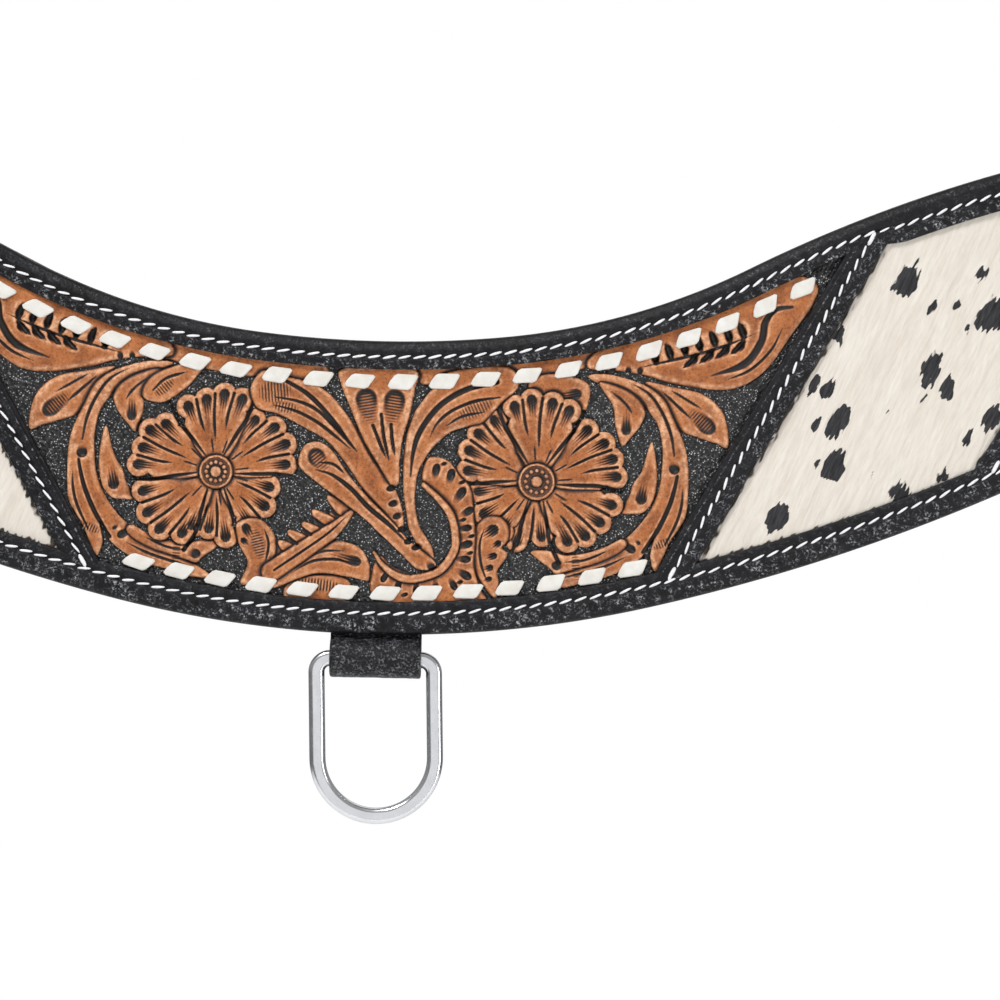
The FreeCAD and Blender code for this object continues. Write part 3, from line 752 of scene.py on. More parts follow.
        self.stain_and_shade[ring] = 0.50
        for seed in range(SEEDS):
            x, z = polar(hub - 2.35, seed * 360 / SEEDS)
            self.bead(x, z, 0.72, 0.40)
        self.bead(cx, cz, 1.9, 0.35)

    def bead(self, x, z, radius, rise):
        pick, away = self.around((x, z), radius)
        q = away / radius
        self.height[pick] += rise * np.clip(1 - q ** 2, 0, 1) - 0.18 * np.clip(1 - abs(q - 1) * 3, 0, 1)
        self.stain_and_shade[pick] *= np.clip(2.5 * q - 1.2, 0, 1)

    def fields(self):
        """Finished height, and the motif, antique and rub fields, as grids."""
        x, z = self.points[:, 0], self.points[:, 1]
        ground = 1 - self.motif
        beads = soft_noise(x, z, 0.60, 11) + 0.6 * soft_noise(x, z, 0.95, 12)
        self.height += ground * 0.24 * beads
        self.height += self.motif * 0.035 * (soft_noise(x, z, 0.8, 13) + soft_noise(x, z, 2.6, 14))
        height = self.height.reshape(self.shape)
        motif = blurred(self.motif.reshape(self.shape), 1)
        narrow, wide = blurred(height, 2) - height, blurred(height, 6) - height
        stain_and_shade = self.stain_and_shade.reshape(self.shape)
        # darkening: stain plus painted shade in narrow and wide recesses
        antique_and_shade = np.clip(stain_and_shade + 1.5 * narrow + 0.7 * wide, 0, 1)
        # lightening on ridges: rubbed tops and painted highlight
        rub_and_highlight = np.clip(-3.2 * narrow - 1.1 * wide, 0, 1) * (1 - stain_and_shade)
        return height, {"motif": motif, "antique_and_shade": antique_and_shade, "rub_and_highlight": rub_and_highlight}


def blurred(grid, reach):
    """Box blur of a grid, twice, over reach cells each way."""
    for axis in (0, 1, 0, 1):
        before, after = grid.take([0] * (reach + 1), axis), grid.take([-1] * reach, axis)
        total = np.concatenate([before, grid, after], axis).cumsum(axis)
        size = 2 * reach + 1
        grid = (total.take(range(size, total.shape[axis]), axis)
                - total.take(range(0, total.shape[axis] - size), axis)) / size
    return grid


def carve_side_scroll(c):
    """Outer scrollwork of one side: curled stem, the leaves inside and outside it, and the feather leaf."""
    feather = [(66, 40), (74, 39.5), (84, 38.2), (91.3, 36), (99.1, 34.6), (107.4, 33.9), (113.5, 34.6),
               (119.6, 37.7), (125, 43), (131, 52), (137.5, 61.5), (139, 68), (132, 71), (118, 65),
               (100, 57), (82, 51), (68, 45)]
    c.leaf(feather, 0.95, 1.5)
    c.cut([(83, 40.6), (92, 42.9), (102, 45.5), (111, 48.6), (119.7, 52.4)], 0.8, 0.75, (0.3, 0.2))
    for x in (87.5, 92.2, 96.9, 101.6, 106.3, 111, 115.4):
        z = 40.6 + 0.31 * (x - 83)
        c.hollow(x, z + 1.9, 1.7, 108, tail=2.4, wide=0.95, depth=1.1)
        c.cut([(x + 0.3, z + 0.5), (x - 0.2, z + 2.6), (x - 1.6, z + 5.0)], 1.5, 0.9, (1.0, 0.2))
    for x in (99.5, 104.6, 109.6, 114.4):
        z = 40.6 + 0.31 * (x - 83)
        c.hollow(x + 0.4, z - 2.2, 1.7, 232, tail=2.2, wide=0.85, depth=1.1)
        c.cut([(x + 1.2, z - 0.8), (x - 0.6, z - 2.8), (x - 3.0, z - 5.0)], 1.3, 0.9, (1.0, 0.2))
    c.cut([(131, 61), (125.8, 60), (122.6, 56), (121.3, 49.5), (116, 42.4), (105.6, 38.4)], 1.8, 1.0,
          (0.4, 0.2))
    c.cut([(128, 54), (124.5, 47), (118, 40.6), (110, 37)], 0.7, 0.6, (0.3, 0.2))
    for x in (74, 79, 82.8):
        c.hollow(x, 39.6, 1.5, 80, tail=1.3, wide=0.7, depth=0.8)
    pear = [(84.6, 36), (93.5, 34.6), (101.8, 33), (107.4, 29.5), (110.7, 24), (111.5, 15.6), (107.4, 16.8),
            (101.8, 18.5), (95.7, 20.8), (91.3, 26.5), (87.4, 31.5)]
    c.leaf(pear, 1.0, 1.5)
    c.hollow(104.4, 22.4, 3.6, 140, tail=2.4, wide=0.8, depth=0.9, lines=0.9)
    c.cut([(89.5, 33.5), (95, 28.5), (99.5, 24.5)], 0.7, 0.6, (0.2, 0.3))
    c.cut([(92, 34), (98, 30.5), (103, 27.6)], 0.6, 0.5, (0.2, 0.3))
    outer = [(66, 37.6), (72.9, 38.2), (83.4, 35.4), (90.2, 31), (94.1, 23.8), (97.4, 16.5), (98.8, 10.3),
             (99.1, 1.4), (98.5, -6.4), (96.3, -10.8), (93.5, -15.3), (91.5, -20), (89, -24.8), (87.2, -20),
             (88.3, -14), (84.6, -20), (79.5, -24), (73.9, -26.6), (66.5, -28.6), (60, -30.5), (52, -31),
             (56, -27.6), (62, -24.8), (69, -22.2), (73, -19.5), (76.8, -16.5), (82.3, -11.4), (86.8, -5.2),
             (89.6, 2), (90.4, 9.2), (90.4, 14.8), (89, 21.5), (86.2, 26), (82, 30.4), (76, 34), (70, 35)]
    c.leaf(outer, 1.2, 1.4)
    c.cut([(95.4, 6), (94.5, 1.4), (92.9, -4), (89.5, -11.4), (85, -18.5)], 1.1, 0.95, (0.6, 0.8))
    c.cut([(97.2, 3), (97, -3), (95.4, -9), (92, -16)], 0.7, 0.6, (0.2, 0.7))
    c.cut([(78, 36.4), (85.5, 32.4), (90, 26.5), (93, 19.5), (94.3, 12.5)], 0.75, 0.65, (0.2, 0.5))
    c.hollow(94.4, 8.3, 1.9, 95, tail=1.5, wide=1.0, depth=1.0)
    c.hatch(91.8, -15.5, 5.2, 1.6, 112, 0.9, 0.3)
    c.hollow(81.0, -17.6, 1.8, 150, tail=2.2, wide=0.8, depth=0.95)
    c.hollow(83.4, -15.6, 0.9, 140, tail=2.0, wide=0.7, depth=0.5)
    c.cut([(79.5, -20.2), (73, -23.3), (66, -25.6), (58, -27.6)], 0.7, 0.6, (0.3, 0.2))
    lower = [(49, -19.6), (53.5, -18.6), (60, -19.8), (66.5, -19.2), (73, -17), (78, -14.5), (79.8, -16.2),
             (77, -19.2), (71, -22.2), (65, -24), (60.5, -25.4), (57, -26.2), (55.2, -24.5)]
    c.leaf(lower, 1.1, 1.2)
    c.cut([(60, -22.3), (66.5, -21.4), (74, -18.2)], 0.6, 0.6, (0.4, 0.2))
    c.hatch(63.5, -23.3, 5.5, 1.5, 5, 0.9, 0.3)
    c.hollow(57.4, -23.4, 1.9, 20, tail=1.6, wide=0.9, depth=0.9)
    first = [(69.8, 35.4), (74.2, 28), (75.2, 21.8), (77.3, 15.4), (80.5, 18.4), (83.4, 22.2), (84.8, 26.6),
             (82.3, 30.8), (77, 34)]
    c.leaf(first, 1.0, 1.2)
    c.hollow(78.7, 20.6, 2.0, 90, tail=3.4, wide=0.9, depth=0.7, lines=0.85)
    c.cut([(73.4, 33), (78.2, 29), (80.9, 25.2)], 0.6, 0.5, (0.3, 0.2))
    second = [(86.8, 17), (84, 7.6), (81.2, 3.1), (80.1, -0.8), (77.2, -6), (81.5, -6.4), (84.8, -5.8),
              (87.8, -1.9), (89, 4.8), (88.4, 12)]
    c.leaf(second, 1.0, 1.2)
    c.hollow(84, -1.6, 1.9, 80, tail=3.4, wide=1.0, depth=0.85, lines=0.85)


def carve_flower_leaf(c, outline, ovals):
    """A small folded leaf below a flower, with pressed ovals."""
    c.leaf(outline, 0.95, 1.2)
    for x, z, radius, towards in ovals:
        c.hollow(x, z, radius, towards, tail=2.0, wide=0.85, depth=0.8, lines=0.85)


def carve_right_flower(c):
    c.leaf([(47.5, 31), (48.5, 36.5), (57, 38), (66.3, 35), (66.2, 28), (63.4, 25), (57, 26)], 0.9, 1.2)
    c.hollow(62.4, 31.6, 2.1, 190, tail=3.2, wide=0.9, depth=0.7, lines=0.85)
    c.flower((50.4, 3.3), 5.9, [
        [(17.5, -83.4), (20.1, -107.4)][::-1],
        [(18.6, 190.5), (19.6, 212.5), (19.4, 236)],
        [(21.3, -61.4), (23.1, -47), (23.9, -31.5), (25, -16)],
        [(25.4, 4.7), (25.2, 17.8), (24.7, 30.7), (23, 46.6)],
        [(23.6, 125.5), (24, 141.6), (23.6, 156.3), (22.1, 172.2)],
        [(24.9, 66.5), (25.5, 79.6), (26, 94.6), (25, 107.5)],
    ], [(119, 2), (57, -2), (-5, 2), (-73.5, -3), (181, 2), (250, 3)])
    carve_flower_leaf(c, [(31.5, -11), (34.5, -8.4), (39, -8.2), (41.8, -11.4), (41.8, -15.4), (39.8, -18),
                          (41.6, -20), (40, -23), (38.4, -25.6), (39, -29.6), (38, -34.5), (34, -30.5),
                          (30.6, -25), (29.4, -19), (29.6, -14.5)],
                      [(36.6, -12.6, 2.3, 215), (38.4, -16.8, 1.3, 220), (37.0, -20.8, 1.4, 200),
                       (36.0, -24.6, 1.3, 200), (35.8, -28.2, 1.1, 200)])
    c.cut([(34.2, -11.5), (32.6, -17), (33.2, -23.5), (35.6, -30)], 0.6, 0.55, (0.3, 0.2))


def carve_left_flower(c):
    c.leaf([(-76.5, 28), (-74.6, 33.5), (-68, 37.4), (-57, 39.5), (-60, 33.5), (-65.5, 28.5), (-71, 26)],
           0.9, 1.2)
    c.cut([(-73, 30), (-69, 33.8), (-62, 36.2)], 0.7, 0.65, (0.6, 0.2))
    c.hatch(-69.4, 30.8, 4.2, 1.9, 130, 0.9, 0.32)
    c.flower((-52.4, 4.3), 5.4, [
        [(18.6, -112), (18, -96), (20.9, -80)],
        [(19, -56), (19, -34), (17.6, -15)],
        [(22.2, 242.4), (25.5, 226.7), (25.3, 212), (23.9, 196)][::-1],
        [(22.2, 7), (23.8, 22.7), (23.4, 38), (20.5, 54)],
        [(21.9, 137.6), (24.7, 148.8), (24.4, 162.8), (24.8, 175.8)],
        [(24.6, 71), (24.8, 84.7), (23.2, 98.4), (22.6, 114)],
    ], [(125.6, 2), (63, -2), (-3, 2), (-66, -3), (186, 2), (249, 4)])
    carve_flower_leaf(c, [(-44.7, -11.4), (-38.9, -10.2), (-34.1, -14), (-32.5, -18.9), (-33.6, -25.9),
                          (-36.1, -30.5), (-43.6, -31.5), (-41.7, -24.5), (-44.4, -19.2), (-45.6, -14.5)],
                      [(-42.2, -13.8, 2.0, 300), (-43, -17.6, 1.2, 320)])
    c.hatch(-38.4, -18.6, 5.5, 2.4, 15, 0.9, 0.3)
    c.cut([(-36.4, -13.8), (-35, -18.5), (-36, -25)], 0.6, 0.55, (0.3, 0.2))


def carve_centre(c):
    """Fan, crossing diagonal leaves, stems and the notched loop in the middle."""
    c.leaf([(-12, -28), (-27, -29), (-30, -34), (-27, -38), (-12, -37), (-8, -33)], 0.8, 1.0)
    c.hatch(-19, -31.2, 8.5, 2.4, 85, 1.0, 0.35)
    c.leaf([(-32.5, -29.5), (-24.3, -21.5), (-16.6, -17.6), (-9.9, -17.4), (-4.8, -20), (-2.2, -25.6),
            (-2.2, -29.7), (-9.9, -28.4), (-20.2, -27.7), (-33, -32.6)], 1.1, 1.3)
    c.hollow(-7.2, -23.4, 2.2, 165, tail=4.0, wide=0.8, depth=0.75, lines=0.85)
    c.cut([(-27, -27.2), (-20.5, -23.6), (-13, -23), (-8, -24.6)], 0.7, 0.65, (0.2, 0.4))
    c.cut([(-23, -22.6), (-17, -20.4), (-11, -20.2)], 0.55, 0.5, (0.2, 0.3))
    for x, z in ((-14.6, -3.4), (-19.4, -8.2), (-22.5, -12.2), (-27, -14.8), (-30, -18.2)):
        c.leaf([(x + 3.4, z - 6.6), (x - 1.6, z - 1.2), (x - 1.2, z + 1.1), (x + 5.4, z - 1.6),
                (x + 6.5, z - 4.6)], 0.8, 0.8)
    c.stem([(-7.4, -6.2), (-14, -13.2), (-24.3, -20.6), (-34, -27.4)], [1.0, 5.0, 6.0, 6.5], 1.0, 1.2)
    c.cut([(-9.5, -8.4), (-16, -14.6), (-25, -21.2), (-33, -26.8)], 0.6, 0.6, (0.3, 0.8))
    for x, z in ((-13.4, -8.8), (-17.6, -12.2), (-21.6, -15.2), (-26, -18.2)):
        c.cut([(x, z), (x - 3.6, z + 2.6)], 0.8, 0.7, (0.9, 0.3))
    acanthus = [(14.6, 9.5), (18.6, 10.5), (22.5, 9.0), (25.5, 5.2), (29.5, 0.5), (30.5, -6.5), (31.2, -15),
                (31, -24), (33, -31), (36, -37.5), (24, -38), (8, -37.5), (-1.5, -34), (-1.6, -26),
                (0.8, -21.5), (5, -25), (12, -27), (19, -24.5), (23, -19.5), (23, -12), (19.5, -4),
                (14, 1.6)]
    c.leaf(acanthus, 0.85, 1.1)
    for x, z, radius, towards in ((18.2, 6.6, 1.5, 260), (23, 5, 1.6, 255), (26.4, -0.8, 1.7, 235),
                                  (28.8, -6.6, 1.5, 215), (28.4, -12, 1.3, 190), (28.6, -17.2, 1.5, 200),
                                  (28.2, -22, 1.4, 180), (28.4, -27.2, 1.6, 150), (24.6, -30.6, 1.3, 120),
                                  (19, -31.8, 1.3, 100), (12.6, -32.6, 1.3, 90), (6.6, -31.6, 1.3, 75),
                                  (2.2, -28.6, 1.2, 60)):
        c.hollow(x, z, 1.35 * radius, towards, tail=2.0, wide=0.68, depth=1.1)
    for x, z in ((20.6, 8.4), (26.6, 2.6), (27.2, -9.4), (30, -14.6), (29.6, -20), (26.6, -29.4),
                 (15.6, -33.6), (9, -33.8)):
        c.hollow(x, z, 1.1, 200, tail=1.8, wide=0.6, depth=0.8)
    c.stem([(14.2, 1.5), (19.8, -3.6), (23.4, -8.7), (24.9, -16.4), (23.4, -21.5), (19.3, -26.2),
            (11.6, -28.7), (5.9, -27.7), (1.3, -24.1), (-1.2, -20.5)], [1.6, 2.5, 2.6, 2.6, 2.6, 1.0], 1.15,
           0.9)
    right_stem = [(17.7, -24.2), (10.6, -14.4), (8.5, -6.2), (7.5, 3), (8, 14.4), (10, 23), (13.1, 28.2),
                  (17, 33), (22, 38), (40, 40), (44, 34), (38, 27.6), (33, 22), (28, 20.5), (22.4, 18.5),
                  (17.2, 13.8), (14.1, 9.2), (12.1, 4.1), (11.6, -3.6), (13.1, -11.3), (17.4, -18.5)]
    c.leaf(right_stem, 1.15, 1.2)
    c.cut([(10, 4.1), (10.6, 11.3), (12.4, 17.9), (16.7, 24.6), (21.3, 28.9), (28, 32.6), (37, 35)], 1.35,
          1.0, (0.3, 0.9))
    c.cut([(15.6, 16), (18, 21), (22.5, 25.2), (30, 28.6), (38, 30)], 0.8, 0.7, (0.2, 0.5))
    c.hatch(30.5, 26.2, 7.0, 3.0, 115, 1.0, 0.34)
    c.cut([(20.4, 20), (26, 23.6), (33, 25.2)], 0.65, 0.5, (0.2, 0.4))
    big = [(-38, 37), (-30, 35.2), (-21.2, 33), (-15, 28.6), (-7.9, 19.5), (-2, 9.4), (4.2, 1.6), (7.5, -6),
           (8, -14.4), (4.4, -13.4), (1.8, -8.2), (-4.8, -1), (-10.5, 7.2), (-17.1, 14.8), (-24.8, 19.2),
           (-33, 23.2), (-39.5, 25), (-42, 31)]
    c.leaf(big, 1.1, 1.3)
    c.cut([(-31, 34.2), (-23.3, 29.6), (-16.6, 23), (-10.5, 15.4), (-7.4, 11.8)], 1.15, 0.9, (0.7, 0.3))
    c.cut([(-34, 28.6), (-26.5, 27.4), (-20.2, 24.6), (-14.6, 19.3), (-8.4, 12.6)], 0.85, 0.75, (0.4, 0.3))
    c.cut([(-34, 26), (-27, 24.2), (-20.2, 20.8), (-14.5, 16.6), (-9.5, 12.6)], 0.8, 0.7, (0.4, 0.3))
    c.hatch(-34, 30.4, 6.0, 4.4, 95, 1.0, 0.36)
    c.hatch(-30.5, 25.4, 5.0, 2.0, 80, 1.0, 0.3)
    fan = [(-12.9, 33), (-10, 26), (-5.3, 15.4), (-0.2, 7.2), (3.6, 1.4), (6.2, 2), (6.5, 9.2), (7.4, 16.9),
           (9.2, 23), (10.8, 31.8), (11.2, 38), (0, 39.5), (-13, 38)]
    c.leaf(fan, 1.2, 1.3)
    c.hollow(-4.7, 28.4, 4.0, 280, tail=2.3, wide=0.95, depth=1.1)
    c.hollow(4.4, 28.2, 4.0, 262, tail=2.3, wide=0.95, depth=1.1)
    for vein in ([(-2.4, 20.2), (0, 14.4), (2.2, 9.5)], [(0.2, 23.8), (1.3, 15.9), (3.2, 8.2)],
                 [(3.4, 20.6), (3.9, 15.4), (4.9, 10.3)]):
        c.cut(vein, 0.8, 0.8, (0.9, 0.15))
    second = [(-25.6, 10.6), (-23.6, 13.8), (-19.4, 14.6), (-15, 11.6), (-10.5, 5.2), (-4.3, -2),
              (4.4, -10.4), (9.6, -16), (18, -22.6), (17.6, -25.2), (12.6, -25.4), (7, -20.4), (0.8, -14.8),
              (-4.8, -9.6), (-11.5, -4.6), (-16.6, -1), (-22.8, 3.6), (-26, 7)]
    c.leaf(second, 1.15, 1.2)
    c.hollow(-20.2, 9.6, 3.4, 310, tail=1.8, wide=0.9, depth=0.9, lines=0.85)
    c.cut([(-20.4, 5.6), (-15, 4), (-8.9, -0.3), (-3.3, -6), (3.9, -11.8), (9.4, -17.2)], 1.15, 0.9,
          (0.3, 0.4))
    c.cut([(-19.5, 8), (-14.6, 7.4), (-10.6, 4)], 0.7, 0.6, (0.4, 0.2))
    for x, z in ((4.0, 0.3), (4.8, -4.6), (6.2, -8.6), (7.8, -12.8), (10, -16.6), (12.4, -18.4)):
        c.hollow(x, z, 1.9, 20, tail=1.3, wide=0.62, depth=1.0)
    c.hollow(17.2, -24.4, 1.7, 120, tail=1.6, wide=0.9, depth=0.7)


def carve_bands(c):
    """Plain raised bands along the top edge, behind the lacing."""
    c.stem([(-112, 57.6), (-100, 52.2), (-86, 47.8), (-72.6, 44), (-59, 41), (-46, 38.8), (-33, 37.4),
            (-20, 36.6)], [6.5, 6.5], 0.8, 1.0)
    c.stem([(14, 36.8), (30, 37.8), (44.3, 39.4), (58, 41.6), (71, 44.8), (86, 48.4), (100, 53),
            (112, 57.6)], [6.5, 6.5], 0.8, 1.0)


def carve_centre_back(c):
    """The toothed leaf on the left of the middle, below the crossing leaves."""
    c.leaf([(-6, -5.5), (-10.5, -4.2), (-17, -9.2), (-22, -12.6), (-28, -16.4), (-33, -20.4), (-37, -25.5),
            (-34, -28.5), (-24, -21), (-14, -13)], 0.85, 1.0)


def carve_middle_panel(c):
    carve_bands(c)
    carve_side_scroll(c)
    c.set_place((-1.0, 1.3), mirror=True)
    carve_side_scroll(c)
    c.set_place()
    carve_centre_back(c)
    carve_right_flower(c)
    carve_left_flower(c)
    carve_centre(c)


def carve_tip_panel(c, sign):
    """Motifs spread along a tip, mirrored on the left: two sprays and a flower between them."""
    c.points = c.points * (sign, 1)
    c.set_place((262, 62), 14)
    carve_side_scroll(c)
    c.set_place((248, 66), 20)
    carve_right_flower(c)
    c.set_place((200, 34), 42)
    carve_side_scroll(c)
    c.points = c.points * (sign, 1)


# ---- panels ----

def carved_sheet(name, points, carve, split, replaced):
    """A carved panel; a wide one is made as two halves that share their normals where they meet."""
    carving = Carving(points)
    carve(carving)
    height, fields = carving.fields()
    surface = np.stack([points[..., 0], GROUND_Y - height, points[..., 1]], -1)
    across = np.gradient(surface, axis=1)
    upward = np.gradient(surface, axis=0)
    normals = np.cross(across, upward)
    normals /= np.linalg.norm(normals, axis=-1, keepdims=True)
    middle = surface.shape[1] // 2
    parts = (("", slice(None)),)
    if split:
        parts = (("_left", slice(0, middle + 1)), ("_right", slice(middle, None)))
    for ending, columns in parts:
        part_fields = {key: np.ascontiguousarray(value[:, columns]) for key, value in fields.items()}
        bm = grid_bmesh(np.ascontiguousarray(surface[:, columns]), part_fields)
        close_behind(bm, CORE_FRONT - 0.1)
        piece = finish_piece(bm, name + ending, "collar", "tooled_leather", replaced)
        given = normals[:, columns].reshape(-1, 3)
        rest = np.zeros((len(piece.data.vertices) - len(given), 3))
        piece.data.normals_split_custom_set_from_vertices(np.concatenate([given, rest]).tolist())


def make_tooled_panels():
    """The middle panel and the two tip panels."""
    sizes = settings()
    sunk = UNDER_LIP - DIVIDER_TO_TOOLED
    points = window_points((-1, 0, sunk), (1, 0, sunk), sizes.carving_step / MM)
    carved_sheet("centre_tooled_leather", points, carve_middle_panel, True, ["centre_tooled_panel"])
    end = (1, None, BORDER_WIDTH[2] - UNDER_LIP)
    points = window_points((1, 1, -sunk), end, sizes.tip_carving_step / MM)
    for side, sign in (("left", -1), ("right", 1)):
        made = points if sign > 0 else points[:, ::-1] * (sign, 1)
        carved_sheet(side + "_tip_tooled_leather", made, lambda c: carve_tip_panel(c, sign), False,
                     [side + "_tip_tooled_panel"])


# spots on the hides as (x, z, half width, half length)
RIGHT_SPOTS = ((168, 71, 3.6, 5.2), (176, 62, 1.2, 2.2), (184, 63, 1.0, 1.8), (196, 60, 5.0, 5.5),
               (187, 54.5, 0.9, 1.2), (176, 42, 3.1, 5.2), (181.5, 36.5, 2.4, 4.0), (174, 33, 0.8, 1.0),
               (143, 35, 2.2, 4.2), (138.5, 36, 1.6, 3.6), (147, 25, 3.0, 5.5), (139.5, 24, 1.3, 2.4),
               (145.5, 11, 3.4, 5.0), (140, 11, 0.8, 1.0), (128, -6, 3.2, 4.8), (167, 2.5, 3.6, 2.6),
               (181, 8, 2.6, 1.8), (146, 52, 1.8, 3.0), (162.5, 28.5, 0.5, 0.7), (157.5, 7.5, 0.5, 0.7),
               (125.5, 18.5, 0.5, 0.8), (116, 2, 0.5, 0.8), (163, 68.5, 0.5, 0.7), (191.5, 73, 1.8, 2.4),
               (203, 44, 3.2, 5.0), (212, 66, 2.2, 3.4), (205, 78, 2.8, 4.6), (196, 27, 2.6, 4.2),
               (222, 84, 3.0, 4.4), (188, 20, 1.2, 2.0), (214, 52, 1.0, 1.6))
LEFT_SPOTS = ((-158, 66, 3.4, 5.0), (-172, 50, 2.6, 4.2), (-150, 40, 1.4, 2.4), (-190, 66, 3.8, 5.4),
              (-183, 30, 3.0, 5.0), (-160, 18, 2.2, 3.8), (-146, 8, 0.9, 1.4), (-176, 12, 1.0, 1.8),
              (-199, 44, 2.0, 3.6), (-206, 74, 3.2, 4.8), (-166, 34, 0.8, 1.2), (-215, 58, 1.4, 2.2),
              (-139, -2, 2.4, 3.6), (-193, 22, 1.2, 2.0))


def hair_axes(x, z):
    """Coordinates along and across the hair's run."""
    a = math.radians(90 - HAIR_ANGLE)
    return x * math.cos(a) + z * math.sin(a), -x * math.sin(a) + z * math.cos(a)


def make_hide_panels():
    """Hair-on hide in the two windows between the dividers."""
    sunk = UNDER_LIP - DIVIDER_TO_HIDE
    for side, sign, spots in (("left", -1, LEFT_SPOTS), ("right", 1, RIGHT_SPOTS)):
        start, end = (sign, 0, -sunk), (sign, 1, sunk)
        if sign < 0:
            start, end = end, start
        points = window_points(start, end, settings().hide_step / MM)
        x, z = points[..., 0], points[..., 1]
        along, across = hair_axes(x, z)
        ragged = 1.9 * soft_noise(across, along / 6, 0.5, 21) + 0.6 * soft_noise(across, along / 5, 1.2, 22)
        spot = np.zeros_like(x)
        for number, (sx, sz, wide, long) in enumerate(spots):
            sa, sc = hair_axes(sx, sz)
            lobes = 0.22 * soft_noise(across + 9 * number, along, 3.0, 23)
            da = (along - sa + ragged) / long
            taper = wide * (1 - 0.25 * np.clip(da, -1, 1))
            q = np.sqrt(da ** 2 + ((across - sc) / taper) ** 2) + lobes
            spot = np.maximum(spot, np.clip(0.5 + (1 - q) * long * 0.55, 0, 1))
        rows = np.arange(x.shape[0])[:, None] / (x.shape[0] - 1)
        tall = np.linalg.norm(points[-1] - points[0], axis=1)
        columns = np.arange(x.shape[1])[None, :] / (x.shape[1] - 1)
        broad = np.linalg.norm(points[:, -1] - points[:, 0], axis=1)[:, None]
        rim = np.minimum(rows, 1 - rows) * tall
        rim = np.minimum(rim, np.minimum(columns, 1 - columns) * broad * 0.85) - UNDER_LIP
        shade = np.clip(1.35 - rim / 1.9 + 0.7 * soft_noise(across, along / 4, 0.7, 27), 0, 1)
        nap = soft_noise(across, along / 7, 0.7, 24) + 0.7 * soft_noise(across, along / 6, 1.6, 25)
        y = PANEL_FRONT + 0.35 + 0.13 * nap + 0.25 * soft_noise(x, z, 22, 26)
        surface = np.stack([x, y, z], -1)
        bm = grid_bmesh(surface, {"spot": spot, "shade": shade})
        close_behind(bm, CORE_FRONT - 0.1)
        finish_piece(bm, side + "_hair_hide", "collar", "hide", [side + "_hide_panel"])


# ---- black border and dividers ----

def rim_stations(step):
    """Stations round the outline, right half first: point, inward normal, share of (top, bottom, tip)."""
    rows = []
    top_s = np.linspace(0, TOP_EDGE.length, int(TOP_EDGE.length / step) + 1)
    x, z, slope = TOP_EDGE.at(top_s)
    rows += [(a, b, math.sin(c), -math.cos(c), 1.0, 0.0, 0.0) for a, b, c in zip(x, z, slope)]
    high, low = TOP_EDGE.tip_z, BOTTOM_EDGE.tip_z
    for corner_z, first, own in ((high - TIP_CORNER, 90, 0), (low + TIP_CORNER, 0, 1)):
        for number in range(CORNER_STEPS + 1):
            angle = math.radians(first - 90 * number / CORNER_STEPS)
            part = number / CORNER_STEPS
            shares = [0.0, 0.0, part if own == 0 else 1 - part]
            shares[own] = 1 - shares[2]
            rows.append((TIP_X - TIP_CORNER + TIP_CORNER * math.cos(angle),
                         corner_z + TIP_CORNER * math.sin(angle),
                         -math.cos(angle), -math.sin(angle), *shares))
        if own == 0:
            tall = high - low - 2 * TIP_CORNER
            count = int(tall / step)
            rows += [(TIP_X, corner_z - tall * n / count, -1.0, 0.0, 0.0, 0.0, 1.0)
                     for n in range(1, count)]
    bottom_s = np.linspace(BOTTOM_EDGE.length, 0, int(BOTTOM_EDGE.length / step) + 1)
    x, z, slope = BOTTOM_EDGE.at(bottom_s)
    rows += [(a, b, -math.sin(c), math.cos(c), 0.0, 1.0, 0.0) for a, b, c in zip(x, z, slope)][1:]
    right = np.array(rows)
    left = right[::-1][1:].copy()
    left[:, 0] *= -1
    left[:, 2] *= -1
    return np.concatenate([right, left])


def rim_point(stations, inset):
    """Points a given distance inward at each station."""
    return stations[:, 0] + stations[:, 2] * inset, stations[:, 1] + stations[:, 3] * inset


def seam_and_width(stations):
    """Inset of the seam and of the inner edge at each station; the top border is wider over the hide."""
    reach = np.abs(stations[:, 0])
    starts = smooth_step((reach - HIDE_STRETCH[0]) / STRETCH_FADE)
    ends = smooth_step((HIDE_STRETCH[1] - reach) / STRETCH_FADE)
    wider = starts * ends * stations[:, 4]
    shares = stations[:, 4:7]
    seam = shares @ np.array(SEAM_INSET) + HIDE_SEAM_IN * wider
    return seam, shares @ np.array(BORDER_WIDTH) + HIDE_WIDER * wider


def seam_line(stations):
    """The border's seam as a closed line, clockwise seen from the front."""
    line = np.stack(rim_point(stations, seam_and_width(stations)[0]), -1)
    return np.concatenate([line, line[:1]])


def needle_phase(stations):
    """Position along the seam in stitches at each station; needle holes are at whole numbers."""
    run = run_along(seam_line(stations))
    count = round(run[-1] / (settings().stitch_pitch / MM))
    return run[:-1] / run[-1] * count


def crinkle(x, z, seed):
    """Fine folds of soft leather, up to 1 at their crests."""
    return 1 - 2.4 * np.abs(soft_noise(x, z, 1.5, seed)) + 0.7 * soft_noise(x, z, 0.9, 32)


